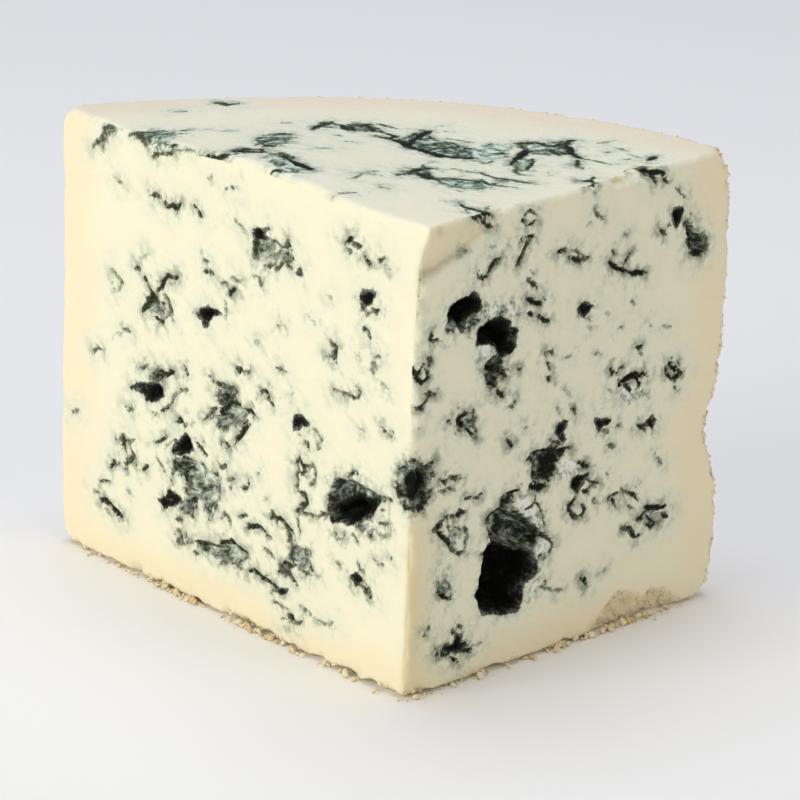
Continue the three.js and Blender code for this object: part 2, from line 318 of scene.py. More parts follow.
# Mould on the cuts, measured out from the tip edge and up from the foot. On the top it is measured along the
# left side, then along the right side.
# Holes: how deep, then points of the outline.
holes = {
    "left": [
        (8, 21, 27.5, 20.7, 29.8, 18.6, 31.2, 16.6, 32.5, 13.4, 32.7, 11.8, 31.6, 10.2, 31.6, 11.8, 29.8,
         13, 28.6, 15.6, 27.4, 18, 27.2, 20, 26.5),
        (3.6, 58.9, 54.2, 57.2, 55.8, 55.6, 56.5, 53.6, 56.5, 51.8, 56, 54, 55.2, 55.3, 54, 55.8, 52.9,
         56.6, 52.6, 57.4, 53.8),
        (4, 78.2, 35.6, 76.4, 37, 73.8, 37.8, 71, 38.4, 68.6, 38.2, 68.4, 36.6, 70.6, 35, 73.4, 34.4, 74,
         35.8, 76.2, 35.6),
        (4, 65.6, 26.2, 65.4, 28.4, 63.4, 30, 61.6, 31.6, 60.4, 30.8, 59.4, 28.8, 61, 27.8, 63, 26.6),
        (3.4, 70, 16.6, 67.6, 17.6, 66.4, 19.6, 64.6, 19, 62.6, 18.4, 64.4, 17, 66.8, 16.4, 68, 15.4),
        (4.4, 43.4, 73, 42.4, 73.6, 40.6, 73.8, 39, 74.6, 40.2, 73.2, 41.2, 72.2, 42, 71.6, 43.2, 71.6),
        (2.6, 14.6, 68.6, 13.8, 69.9, 12, 70, 10.4, 69.8, 11.2, 68.4, 11.8, 67.6, 13, 66.9, 13.8, 67.8),
        (1.8, 31.8, 41.6, 31, 43.2, 28.6, 43.3, 27, 42.8, 28.6, 41.8, 30, 40.6, 31.4, 40.4),
        (1.2, 36, 10.6, 33.8, 10.6, 31.8, 10.9, 33, 9.8, 34, 9.5, 35.4, 9.6),
        (1.6, 14.6, 18.4, 13.4, 19.4, 12.4, 19.2, 11.4, 18.6, 12.6, 17.8, 13.6, 17),
        (1.2, 31.8, 68.2, 30.8, 69.8, 30.1, 69.4, 29.9, 68.3),
        (2.4, -1.2, 36.4, 0.6, 36, 1.6, 37, 2, 38.6, 1.6, 40.2, 0.6, 41.2, -1.2, 41),
    ],
    "right": [
        (6, 7.8, 67.6, 8.4, 68.4, 10, 69.2, 12, 69.7, 14.2, 70.3, 15.2, 69, 16.2, 67.4, 15, 66.8, 13.6,
         66.2, 12.6, 64.8, 11.2, 63.8, 10, 64.8, 9, 66, 7.8, 66.2),
        (7, 14.8, 60.8, 15, 62.8, 15.6, 63.8, 17.2, 64.4, 19.6, 64.4, 21.4, 64, 23, 63, 23.4, 61.8, 25.2,
         61.4, 24.6, 60.2, 24.6, 58.4, 23, 57.6, 21.6, 57.4, 20.2, 58.2, 19.8, 59.6, 18, 60.2, 16.4, 60.2),
        (2.6, 10.8, 48.6, 11.8, 49.2, 13.2, 49, 12.6, 48.2, 13, 47, 12, 46.8, 11.2, 47.4),
        (6, 2.8, 41.2, 4, 41.2, 5, 40, 5, 38.4, 4, 36.6, 2.6, 35.6, 0.6, 35.6, -0.6, 36.4, -0.8, 38, 0.8,
         38.2, 1.6, 39.4),
        (1.2, 6, 30, 7.6, 31, 8.8, 31.2, 8.2, 30, 7.4, 29.2),
        (2.6, 10.4, 7.2, 11.6, 7.6, 13, 9.4, 14.2, 8.8, 14, 7.4, 15.4, 6.6, 14, 5.9, 12.6, 5.9, 11.4, 6.6),
        (9, 18.8, 22.8, 19.4, 24, 21.4, 24.2, 23.4, 23.6, 25.2, 22.6, 26.4, 21.4, 28, 21.4, 30.2, 20.6,
         31.4, 19.4, 31.8, 17.6, 32, 16.2, 30.6, 15.2, 28.8, 14.6, 28.4, 12.6, 28, 10.4, 26.6, 9.6, 24,
         10, 21, 10.8, 18.8, 11.4, 18, 13.4, 16.8, 15.4, 18, 16.6, 17.8, 18, 18.2, 19.6, 18.6, 21.6),
        (2.6, 35.4, 40.6, 35.8, 42, 37.2, 42.6, 38.6, 42.2, 37.8, 41.2, 37.2, 40.4, 38, 39, 37.4, 38.6,
         36.2, 39.8),
        (3.6, 39.6, 30.6, 40.4, 31.4, 42.4, 31.2, 44, 31.2, 43.6, 30.2, 42.8, 29.2, 41.6, 28.2, 40.6,
         28.8, 39.8, 29.6),
        (2.2, 45.2, 40.6, 45.8, 41.2, 47, 40.4, 48.6, 40.2, 49.6, 39.6, 49, 39, 47.6, 39, 46.8, 38.3, 46,
         39),
        (2.4, 56.2, 37.8, 57.4, 36.8, 58.6, 37.4, 60.2, 38.5, 61.6, 37.2, 60.6, 36, 59.6, 36.8, 58, 36.4),
        (2.2, 39.4, 62, 40.2, 63, 41.4, 63.2, 42.4, 62.2, 43.8, 61.8, 42.4, 61.2, 41.8, 60.2, 40.8, 60.4),
        (3, 63.2, 74.6, 63.6, 75.6, 64.8, 75.8, 65.6, 75.4, 65.4, 74.2, 65, 72.6, 64.2, 72, 63.6, 73),
        (1.6, 54.8, 18.8, 55.8, 18.8, 57, 17, 58, 16.2, 56.8, 16.2, 55.8, 17),
    ],
    "top": [],
}
# Patches of grey-green bloom: how deep, how dark, then points of the outline
patches = {
    "left": [
        (3, 0.5, 21.2, 28, 21.2, 33.6, 19, 35, 14, 36, 9.6, 35.4, 5.8, 35, 8.4, 33, 10.4, 30.4, 13, 30,
         17, 29.4),
        (1.2, 0.5, -1.2, 43, 1, 42.8, 2.8, 41.6, 3.8, 40, 3.8, 37.6, 3, 35.8, 1.4, 34.6, -1.2, 34.6),
        (1.6, 0.22, 12, 30, 9.6, 30, 9, 27.2, 13.6, 27.2, 15.5, 27.3),
        (2.8, 0.3, 43.3, 72.8, 40, 73, 36, 72, 33.6, 72.6, 33.2, 70, 34.2, 69.2, 36.4, 70.2, 36.8, 68,
         38.6, 67.6, 41.4, 68, 43.2, 67.6),
        (1.8, 0.38, 74.4, 51.4, 72.6, 54.6, 71, 55, 69, 54, 68, 53, 68.6, 51, 70.4, 50.6, 72, 51.2),
        (2.6, 0.52, 54, 43, 50, 43, 47, 43.4, 48.4, 41.4, 49.6, 40.2, 51.6, 38.4, 53.8, 40.6),
        (3, 0.32, 54.8, 36, 53, 37.6, 50, 39.6, 48, 40.6, 44.4, 40.4, 44, 38.6, 46.4, 36.8, 48.8, 36.8,
         50, 35.4, 52.6, 34.8),
        (2.6, 0.8, 72, 39.4, 70.4, 41, 68.4, 41, 68.6, 38.6, 70.4, 38.4),
        (2.2, 0.36, 65.5, 25.5, 63, 26, 60.5, 27.2, 58, 26.6, 55, 26.4, 52.4, 26, 51, 24.4, 51.4, 22.4,
         52.6, 21, 53.6, 19.4, 54.4, 17, 55.6, 17.6, 56, 20, 57.2, 21, 58.4, 20, 59.2, 17.6, 60.4, 16,
         62.6, 15.8, 64, 16.8, 62.4, 18.6, 62, 20.6, 60.6, 22, 62, 23.2, 64, 23, 65, 24),
        (2.4, 0.28, 59.4, 11, 56, 12.4, 53, 13.4, 50, 14.2, 46.4, 14.4, 43.2, 14, 44.6, 11.2, 48, 10.6,
         51, 10.2, 54, 11),
        (2, 0.3, 31.8, 19.6, 29.8, 20, 27, 19.4, 25.6, 17.4, 26.4, 15.8, 29, 15.6, 31.6, 16.6),
        (1, 0.4, 34.6, 15, 31, 15.2, 31.2, 13.6, 34.4, 13.2),
        (1, 0.3, 88, 79, 86.4, 82, 84.6, 83, 83.6, 82, 85.6, 80.6, 86.6, 78.4),
        (0.5, 0.28, 75, 83, 69, 83.6, 65, 83.4, 67, 81.6, 71, 81.2),
    ],
    "right": [
        (2, 0.34, 6.8, 65.4, 8, 66.4, 9.2, 65.6, 9.6, 64.6, 8.6, 64, 7, 64.2),
        (3.4, 0.6, 17.4, 57.2, 19.6, 58.4, 20.8, 58.4, 21.6, 57.4, 21.6, 55.6, 23.2, 54.2, 21.6, 53.4,
         20.4, 52.4, 18.4, 52.2, 17.4, 53.2, 17, 56),
        (1.4, 0.06, 16, 60.4, 18.4, 60.6, 20, 59.8, 19.6, 58.4, 18, 57.4, 16.4, 57.6),
        (1.2, 0.5, 12.4, 66.6, 14, 67, 15.6, 66, 15.4, 64.8, 13.6, 64, 12.2, 64.4),
        (0.4, 0.08, 15.8, 68, 17.2, 67.6, 20, 66.4, 23, 66.2, 25, 65.4, 25.6, 63.8, 23.6, 63.8, 21.6,
         64.8, 17.4, 65, 15.6, 65.8),
        (1.4, 0.24, 10.4, 49.6, 14.6, 49.2, 15.2, 47, 13, 46, 10.8, 46.6),
        (2.6, 0.58, -1, 43, 1.4, 43, 3.4, 42.2, 5.6, 40.6, 5.8, 38, 4.8, 35.6, 3, 34.4, -1, 34.8),
        (0.8, 0.1, 9, 30, 11.4, 29.4, 13.4, 27.6, 12.8, 25.4, 10.6, 26, 9.4, 28),
        (0.8, 0.26, 7.6, 22.6, 9, 22, 9.2, 20, 10.6, 18, 10.8, 16.4, 8.4, 17.4, 7.2, 18.4),
        (1.6, 0.42, 9, 8, 11, 8.4, 12.6, 8, 12, 6.4, 10.4, 6, 9, 6.8),
        (5, 0.58, 19.2, 28.6, 20.6, 29.2, 22.6, 29.8, 23.2, 31.4, 24.6, 32.2, 26, 32.2, 25, 30.6, 26.6,
         28.2, 28.6, 26.6, 30.6, 25, 33, 23, 34, 22, 31.6, 20, 29.6, 20.4, 27, 21, 24, 22.2, 20.4, 23,
         19.6, 26),
        (4, 0.72, 28.6, 37.4, 30, 38.2, 33.2, 38.4, 35, 39, 36, 37.8, 37.8, 37.2, 36.8, 35.4, 36.2, 33.2,
         35, 32.2, 33, 31.6, 30.4, 32.4, 29.6, 34.6, 29.8, 36),
        (0.4, 0, 35.4, 35, 37.6, 35.4, 40, 34.4, 43, 32.8, 42.6, 31.4, 39.6, 31.2, 36.6, 32),
        (0.3, 0, 26.4, 31.4, 29, 30.8, 30.8, 28.8, 32, 26.6, 33.2, 24.2, 33.4, 22.8, 30, 25, 28, 26.8,
         26.4, 28.8),
        (0.3, 0, 31, 20.4, 33, 22, 34.4, 21.4, 35, 20, 34, 18.8, 32.4, 19),
        (0.3, 0, 29.2, 11, 30.4, 13.6, 32, 15, 33.4, 14.4, 32, 12.4, 30.4, 10.8),
        (0.6, 0.04, 50, 46, 56, 45, 59, 43, 55, 42, 51, 43),
        (2.6, 0.58, 66.8, 72.6, 68.8, 72, 70.6, 70.4, 72, 69, 73.2, 67.6, 72.4, 66, 70, 66, 68.4, 67,
         67.6, 69),
        (2, 0.36, 58, 20, 61, 20.6, 65, 20, 66.2, 18.6, 64, 17, 61, 18),
        (1, 0.12, 32, 15.4, 34, 17, 34, 19.4, 32, 18.6),
    ],
    "top": [
        (2.4, 0.5, 42.6, 34, 38.2, 32.4, 33, 32.2, 30, 33, 27, 34.6, 25, 37.4, 27.6, 39.8, 30, 41.4, 32.2,
         42, 36, 41, 39.4, 40.4, 41.5, 41.5, 43.6, 44, 45.4, 43, 44.4, 39.6, 43, 37),
        (1.6, 0.72, 42.4, 33.4, 38.2, 32.6, 33, 32.4, 29.6, 34, 27, 37, 28.4, 38, 31, 35.6, 35, 35.2,
         39.4, 36, 42, 36),
        (0.8, 0.16, 30.8, 41.7, 30.6, 46.8, 27, 48.8, 22.3, 42.7, 23.3, 36.7, 26.3, 37.7),
        (1, 0.36, 76.8, 1, 77, 4.4, 74.6, 6.4, 71.6, 6, 69, 3.2, 70, 0.6, 72, 1),
        (1.4, 0.3, 48.2, 6.9, 45.2, 9.6, 43, 9.2, 41, 7.8, 37.5, 7.4, 34.7, 6.5, 34.6, 2.8, 38.2, 0.7,
         39.5, 2.4, 41.5, 3.8, 45, 5.2),
        (0.6, 0.7, 53.6, 3.4, 52.6, 6.6, 49.6, 8.6, 47.6, 7.2, 50, 4.6),
        (0.9, 0.42, 57.6, 21.4, 59.4, 18.6, 58.6, 14.4, 54.6, 10.4, 50.4, 10.6, 50.6, 14, 54.4, 19.4),
        (1.2, 0.34, 19, 42, 20.6, 45, 19, 46.4, 16, 43, 13.6, 39.8, 14, 38),
        (1.4, 0.32, 20, 22.6, 19.4, 25, 16, 28.4, 12, 30.8, 10.4, 28, 11.4, 24.4, 15, 22.2),
        (0.8, 0.52, 27, 26.4, 26.4, 23, 25.6, 20.8, 23.6, 21.2, 20, 21.6, 19, 23, 22, 24, 24.4, 25.4),
        (1.6, 0.46, 28.4, 50.6, 26, 54.2, 22.7, 58.8, 19, 55, 16.6, 52, 18.5, 50, 21, 48, 24, 48.6),
        (1.2, 0.46, 58.6, 27.6, 61.4, 31.8, 60, 34, 55.4, 32),
        (0.9, 0.48, 55, 31.9, 57.4, 34.7, 55, 38.4, 50.6, 37, 47.6, 35.6, 50, 33.6),
    ],
}
# Veins and stains: how wide, how dark, then points of the path
strokes = {
    "left": [
        (1, 0.75, 17, 36.2, 15.4, 36.8, 14, 37.6), (1, 0.6, 24.2, 26.2, 22.4, 27.4, 21, 28),
        (0.8, 0.5, 29, 25.6, 26.5, 26.2, 24, 26.2), (1.1, 0.7, 11.2, 26.8, 10, 27, 9.4, 28.4),
        (0.9, 0.5, 20.6, 24.8, 19, 25), (0.9, 0.5, 19, 24, 17.4, 24.8, 16.6, 26),
        (1, 0.5, 15, 26, 13.5, 25.3), (1, 0.6, 8, 30, 6.6, 30, 5.4, 30.6), (1.1, 0.6, 7.2, 32.6, 5.8, 32.8),
        (0.9, 0.6, 6.4, 34.8, 4.6, 35.2), (0.9, 0.35, 9, 28.6, 7, 28, 5, 28.8, 5, 30),
        (1.4, 0.65, 43, 72.5, 43.3, 70, 42.8, 68), (0.9, 0.6, 35, 71.6, 34, 71, 33.4, 69.6),
        (1.2, 0.7, 41.4, 72.6, 38.5, 72.4, 36, 71.9, 34.6, 71.9, 33.6, 73.4),
        (1, 0.7, 33.8, 73.6, 33.2, 72.2, 32.8, 70.6, 33.6, 70), (1, 0.45, 40.6, 69.2, 39, 70, 38.2, 69.2),
        (1.1, 0.65, 36.8, 67.6, 35.4, 69, 34.4, 69.4, 32.8, 68.8),
        (1.1, 0.55, 40, 67.6, 38.6, 67.8, 38, 69), (1.3, 0.4, 43, 64.8, 41.4, 64.9, 40.6, 63.8, 40.2, 65.2),
        (1, 0.25, 48.6, 73.8, 47, 73.2, 45.2, 72.6), (1.5, 0.8, 76.8, 58.5, 75.6, 58.4),
        (1.7, 0.85, 73.9, 57.2, 73.3, 56.6),
        (1.6, 0.75, 73.2, 56.4, 72, 55, 72.8, 53.2, 74.4, 51.4, 75, 51),
        (1.8, 0.8, 72.4, 55, 71.2, 54.6, 72.8, 53), (1.4, 0.85, 70.6, 56, 69.8, 56.6, 68.4, 58.3, 67, 59.4),
        (1.1, 0.75, 66.4, 59, 65.2, 59.4, 63.8, 60), (1.2, 0.7, 70.8, 53.4, 69.4, 53.6, 68.4, 54),
        (1.2, 0.55, 68.6, 55.6, 67.4, 54.8, 66.4, 53.2, 66, 51.8),
        (1, 0.5, 66.5, 53, 67.8, 51.6, 68.6, 50.8), (1.3, 0.75, 71.2, 50.6, 70, 50.2, 68.6, 50.4),
        (1, 0.3, 75.5, 60.6, 73.4, 61.6),
        (1, 0.35, 84, 56.4, 82.4, 55.6, 81, 54.6, 82, 53, 83.2, 52.4, 84, 54),
        (1.1, 0.5, 80.9, 46.2, 80, 46.4, 78.6, 46.2), (0.8, 0.3, 83, 44.5, 81, 45.2),
        (1.2, 0.6, 57.2, 64.8, 55.8, 64.7), (1.5, 0.55, 56.6, 62.5, 55.8, 62.9, 54.3, 63),
        (0.9, 0.5, 52.4, 61.5, 50.8, 61.9, 50, 61.5), (1.8, 0.85, 49.6, 59.8, 48.8, 60.8, 48, 61.2),
        (1.2, 0.3, 51, 58.6, 50.5, 57, 50.8, 55.5), (1.2, 0.4, 49.4, 63.4, 48, 63, 46.6, 63.2),
        (1.1, 0.8, 57, 35.4, 55.4, 36.4, 53.4, 38.6), (1.3, 0.9, 52.4, 37.4, 51, 39, 49, 40.4, 46.4, 40.6),
        (1.3, 0.9, 45.4, 40, 43.6, 40.6, 42.2, 39.8),
        (1.4, 0.85, 43.6, 38.2, 45.2, 36.8, 46.2, 35.2, 47.6, 33.8),
        (1.1, 0.65, 54, 43.2, 51.6, 43, 49.4, 42.8, 47.4, 43.2), (1, 0.6, 49.2, 43, 47.6, 41.2),
        (1.2, 0.8, 51.2, 32.5, 49.8, 32.7, 48.6, 32.2), (1, 0.5, 47.2, 37.4, 48.6, 36.6),
        (0.9, 0.3, 43.2, 42, 42.2, 41), (0.9, 0.5, 55.4, 43.6, 54.2, 44.4),
        (1.3, 0.65, 62.6, 43.8, 61.3, 42.6), (1.2, 0.7, 75.8, 40.4, 74.4, 40.4, 73.2, 41.4),
        (1.3, 0.8, 70.2, 41.6, 68.4, 40.6, 66.6, 41.4, 65, 41.4),
        (1.2, 0.7, 72.8, 39.2, 71, 39.6, 70, 40.8), (1.1, 0.8, 69, 33.6, 67.6, 34.4, 66.4, 35.6),
        (1, 0.5, 66.4, 35.6, 65, 37.8, 64, 38.8, 61.6, 39.6), (0.8, 0.35, 72.4, 32.6, 70.6, 32.6, 69, 33.4),
        (1.4, 0.85, 64.6, 32.8, 63.2, 33.6, 62.6, 33.2), (1.3, 0.55, 62, 32.6, 61.4, 33.8),
        (1, 0.75, 70.6, 27.2, 68.6, 28.2, 67.4, 29.2), (0.9, 0.4, 67.8, 26.8, 66.4, 28.4),
        (1, 0.6, 66, 28.8, 64.6, 29.4), (1.2, 0.6, 58.8, 30.4, 57.4, 29.6, 55.6, 28.8),
        (1, 0.4, 56.9, 31.4, 56.2, 31), (1.1, 0.55, 52.8, 28.4, 51.2, 27.8, 50, 28.8),
        (1.2, 0.55, 79.8, 31.2, 77.8, 31.8), (1.2, 0.75, 65.8, 22.4, 65, 24, 63.4, 24.8, 62, 25.2),
        (1, 0.65, 67.2, 21.4, 66, 21.4), (1, 0.35, 70, 24, 68.6, 23, 67.6, 21.8),
        (1.1, 0.8, 55.2, 24, 53.6, 25, 52.4, 26.2),
        (1.2, 0.7, 54.2, 16.8, 53.6, 18.2, 53.2, 19.6, 52.6, 20.4),
        (1.1, 0.65, 62.6, 16.2, 60.8, 16.4, 59.6, 15.8), (1, 0.65, 61, 21.6, 60.4, 20.6),
        (1, 0.5, 51.4, 18.2, 50.4, 19.4, 49, 18.6, 48.6, 17.4),
        (1.4, 0.7, 82, 24.4, 80.8, 25.4, 80.4, 24, 79.8, 22.8),
        (0.9, 0.5, 80.6, 25.2, 78.6, 25.2, 77.2, 25.8), (1.2, 0.6, 78.8, 24.8, 77.6, 23.2, 77, 22.6),
        (1.6, 0.7, 77.6, 22.4, 79, 21.4, 79.4, 19.8), (1, 0.5, 77, 22, 76.6, 21),
        (1.1, 0.75, 75.4, 20.2, 74.4, 20.8, 73, 22), (1.7, 0.8, 85, 18.6, 83.6, 19.6, 83.2, 20.2),
        (1.2, 0.65, 83, 19.2, 81.6, 20), (1, 0.5, 80.4, 20.6, 79, 20),
        (1.1, 0.65, 87.8, 14.8, 86.4, 15.2, 84.6, 15.8), (1.1, 0.55, 89.8, 12.8, 88, 12.4),
        (1.2, 0.9, 87.8, 11, 86.4, 11.8, 85.2, 11.2, 83.2, 10.4, 81, 9.9), (1, 0.4, 86.2, 9.8, 84.6, 9.2),
        (1, 0.4, 96.6, 25.8, 95.4, 26.4, 94.4, 27), (1.4, 0.5, 89.8, 39.4, 88.2, 40.4, 87, 40.6),
        (1.2, 0.7, 60, 11.2, 57, 12, 54.6, 12.6, 52.6, 12.8), (1, 0.55, 43.8, 14, 44.8, 12.6, 45, 11.4),
        (1.3, 0.85, 51.4, 13.6, 49.4, 14, 48.6, 14.6, 46.4, 14, 43.6, 14),
        (1, 0.55, 51.2, 9.8, 49, 10.6, 46.6, 10.8, 44.6, 10.6), (1.3, 0.55, 59, 9.6, 57.6, 9.9),
        (1.2, 0.85, 43.2, 10.8, 41.6, 11.4, 40, 11, 38, 10.6, 36.2, 10.4), (0.9, 0.35, 38, 11.6, 37, 11.9),
        (1.3, 0.75, 64.4, 14.4, 63.2, 14.8), (1.1, 0.55, 62.4, 13.2, 61.4, 12.4, 61, 11.4),
        (1.1, 0.45, 64.6, 11.6, 63.4, 12.6, 62.6, 11.4, 64, 10.4, 62, 10.2, 60.6, 10.8),
        (1.2, 0.6, 37.6, 22, 36.4, 23.4, 35.6, 22), (1.2, 0.75, 36, 22.8, 34.4, 23, 32.6, 22.4, 30.6, 22),
        (1.4, 0.7, 33, 22, 31.4, 21, 32.2, 19.6), (1.2, 0.6, 29.8, 24.8, 29.4, 23.6, 29.2, 22.4),
        (1.2, 0.6, 31, 21.6, 30.4, 20.8), (1.3, 0.8, 30.4, 19.6, 29.6, 19.4),
        (1.5, 0.85, 29, 18.8, 28, 18.4), (1, 0.55, 27.6, 19.4, 26, 19.6, 25.6, 18.4),
        (1.3, 0.7, 31.4, 18.6, 31.8, 17.2, 31.2, 16.2), (1.2, 0.75, 27.2, 17, 26.2, 16.6, 25.2, 16.2),
        (0.9, 0.5, 31, 15.8, 28.6, 15.4, 25.6, 15.4), (0.8, 0.3, 25, 16.2, 23, 15.8),
        (1.4, 0.75, 34.6, 14.6, 33, 15.2, 31, 15.4), (1.4, 0.65, 35, 13.2, 33, 13.6, 31.4, 14),
        (1.2, 0.75, 32, 13.8, 30.6, 12.8, 29.6, 12.4), (1.1, 0.5, 46.6, 19.6, 45, 20.4, 43.8, 20.9),
        (0.9, 0.45, 38.2, 18.8, 36.8, 18.8),
        (1.2, 0.85, 44.2, 18.8, 42.6, 19.4, 41, 19.8, 39.4, 19.6, 38, 19),
        (1, 0.45, 38.8, 16.2, 37, 16, 36, 15.6), (1.1, 0.5, 49.2, 25.8, 48.2, 27, 47, 27.2),
        (1.2, 0.45, 48.6, 26.4, 48.8, 24.6), (1.1, 0.75, 46, 25.7, 44.6, 26, 43.6, 27.4),
        (0.8, 0.4, 39.4, 24.9, 38.2, 25.5), (1.3, 0.7, 28.4, 38.8, 27.6, 39, 27.2, 37.6),
        (1.1, 0.45, 24.6, 39.4, 23.6, 40.6),
        (0.9, 0.35, 27, 41.8, 25.4, 42, 24, 40.6, 24, 39.2, 25.2, 38.2), (1, 0.4, 29.6, 39.8, 28.6, 38.6),
        (1.4, 0.85, 30.4, 34.6, 29.8, 36, 28.4, 34.6, 27.4, 34.8), (0.9, 0.35, 28.4, 33.2, 27.2, 33.2),
        (1.2, 0.7, 28.8, 35.4, 28, 34.2, 29.4, 33.2, 30.2, 33.8), (1.1, 0.55, 30.4, 33, 30, 31, 29.8, 29.8),
        (1, 0.5, 27.6, 35, 26, 35.4, 25.2, 34.2, 25.6, 32.8, 27, 31.6),
        (1.3, 0.65, 29.2, 29.8, 28, 29.4, 27.4, 28.2, 28.4, 27.4, 29.8, 26),
        (1, 0.55, 29.8, 24.8, 29.2, 25.8, 27, 26.2), (1, 0.5, 36.4, 9, 35.6, 10),
        (1, 0.45, 36, 7.4, 34.2, 7.4, 32.6, 6.8), (0.8, 0.3, 34, 6.4, 32.4, 7, 30.6, 6.8),
        (1.4, 0.8, 32.4, 5.6, 31, 6, 30.4, 5.4), (1.3, 0.6, 30.6, 5.4, 28.8, 5.6, 27.8, 6.2),
        (0.9, 0.5, 33.4, 4.7, 31, 4.9), (1, 0.5, 28, 8.8, 26.4, 8.6, 25.4, 8),
        (0.8, 0.35, 25.6, 8, 22.8, 7.6, 20.4, 7.8, 19, 8.6), (0.9, 0.4, 18.6, 20, 17, 19.2, 15.6, 18.8),
        (1.1, 0.45, 13.6, 22, 13, 20.8, 12.8, 19.8), (1, 0.5, 12.8, 20.2, 11.6, 20.4),
        (1.2, 0.7, 14, 16.8, 12.8, 17.4), (1.2, 0.7, 12.2, 17.4, 11, 17, 10, 16.2),
        (1, 0.5, 11, 18.2, 9.8, 17.2, 9.4, 16.2), (1, 0.45, 10, 23, 7.8, 22.6, 6.8, 23.2),
        (1.4, 0.85, 18.6, 76.8, 17.6, 77.6, 16.8, 78), (1.1, 0.6, 16.8, 77.2, 15.8, 76.8, 14.6, 76.8),
        (1.2, 0.5, 18.4, 76, 17.2, 75.6), (1.5, 0.85, 13.6, 75.2, 12.4, 75),
        (1.2, 0.65, 10.2, 75.6, 9.2, 76, 8.6, 76.4), (0.8, 0.3, 8.8, 75.4, 7.2, 74.8),
        (1.3, 0.6, 14, 67.4, 13.4, 66.2, 12.2, 65.9), (1.1, 0.6, 11.6, 66.6, 10, 66.6, 9.2, 67.2),
        (1.3, 0.6, 13.4, 63, 12.4, 62.4, 11.6, 61.6),
        (1.4, 0.4, 11.2, 58.4, 10.4, 57.6, 11.2, 56.4, 10.4, 55.8),
        (1.2, 0.5, 10.2, 58.6, 9.2, 59.2, 8.8, 59.4), (1.2, 0.35, 9.8, 57.2, 9.6, 56),
        (0.9, 0.25, 9, 55, 6.4, 54), (1.3, 0.55, 22, 58.6, 20.6, 58, 21, 57),
        (1.4, 0.8, 22.6, 56, 21.4, 56, 20.4, 55.2), (1.3, 0.65, 20.4, 58.4, 21, 56.8, 20.4, 55.6),
        (1.5, 0.6, 15, 52.4, 14, 51.8, 14.4, 50.8),
        (0.9, 0.55, 21, 50.2, 19, 50.4, 17, 50.6, 15, 50.4, 14.4, 51.4),
        (1, 0.45, 8.4, 48, 7.8, 47.2, 6.6, 46.4, 5.4, 46.4, 5, 47.6), (0.8, 0.4, 49.2, 47.8, 47.8, 47.7),
        (1.2, 0.75, 47.6, 47.4, 46.4, 47.8, 46.6, 46.8), (1.1, 0.5, 45.6, 47, 44.2, 47.2, 43.6, 48.2),
        (1.2, 0.8, 41, 44.2, 40, 45.2, 39, 45.3, 38.2, 44.4),
        (1.3, 0.75, 38.4, 44.2, 37.4, 43.4, 36.6, 43.2), (1.1, 0.5, 36.2, 50.3, 35, 50.5, 33.8, 50.2),
        (0.9, 0.25, 42.4, 53.2, 40.8, 54), (1, 0.3, 36.6, 57.4, 35.6, 57.8),
        (0.9, 0.35, 35.2, 58.6, 34.2, 58.2), (0.9, 0.2, 28, 61.4, 26, 60.6),
        (0.9, 0.25, 23, 66.2, 21.8, 66.2), (1.4, 0.5, 89.5, 77.8, 87, 79.6, 86.3, 81.6, 85, 83.2, 83, 83.6),
        (1.2, 0.5, 87, 78.5, 86.2, 80.5, 85, 81.4, 83, 82.2), (1.4, 0.55, 78, 83.5, 75.6, 83, 73.4, 81.6),
        (1.3, 0.55, 72.2, 79.6, 70.5, 80.8, 67.5, 81.5, 65, 82.6), (1.6, 0.8, 67, 83.3, 66.2, 83.4),
        (1.2, 0.3, 65, 82.6, 60, 83.5), (1, 0.55, 51.2, 78.7, 48, 79.6), (0.8, 0.35, 56, 79.6, 55, 80.3),
        (1.4, 0.4, 83, 73.6, 80.6, 73.4), (1.5, 0.7, 72.6, 72.9, 71, 73.4, 69.3, 73.2),
        (1.3, 0.8, 68.6, 72.8, 67.6, 72.2, 65.6, 72.6, 64.9, 72, 64, 73.6),
        (1.1, 0.75, 59.8, 73.9, 58.8, 73.1, 57.5, 72.3),
    ],
    "right": [
        (1.2, 0.9, 14, 65, 15.2, 65.2), (1.5, 0.85, 20, 57, 19.4, 55.6, 21.4, 54.6, 22.6, 53.8),
        (1.4, 0.8, 20.2, 51.8, 21.4, 50.6, 22.2, 50.2), (1.1, 0.6, 24.6, 49.4, 25.2, 48.6),
        (1, 0.55, 23.6, 48, 24.4, 47.8), (1.1, 0.5, 24.2, 63.6, 25, 64),
        (1.6, 0.75, 4, 64.8, 3.8, 64, 5.2, 63.4), (0.9, 0.4, 5.6, 63.2, 6.4, 63),
        (1, 0.35, 12.8, 63, 13.8, 62.4), (1.2, 0.85, 0, 59.4, 1.2, 57.8, 2.4, 57, 3.6, 57.4),
        (1, 0.65, 3, 61.6, 4.2, 60.4, 3.8, 59.2), (1.3, 0.9, 2.2, 60, 1.8, 59.2),
        (1, 0.7, 2.6, 60.4, 3.2, 58.8, 3.4, 57.8), (1.2, 0.7, 5.8, 53.8, 4.4, 54.4, 3, 54.6),
        (1.1, 0.6, 4.6, 54.2, 3.4, 53, 2.6, 52.4), (1.3, 0.65, 1.2, 52.2, 2.4, 52.4, 3, 51.8),
        (1.2, 0.7, 9, 48.8, 9.8, 48.4), (1.1, 0.55, 10.6, 46.6, 11.8, 46.4),
        (1.2, 0.8, 13, 46.6, 14.4, 45.4, 15.8, 44), (1.1, 0.7, 14.8, 49.4, 15.2, 47, 15.6, 45.6),
        (1, 0.4, 11, 50.6, 11.8, 50.2), (1, 0.7, -1, 43.2, 1.6, 43, 3.6, 42),
        (1.1, 0.8, 3.8, 41.6, 5, 42, 6.2, 42.4), (1, 0.75, 6.8, 38.6, 8.6, 38, 10.2, 38),
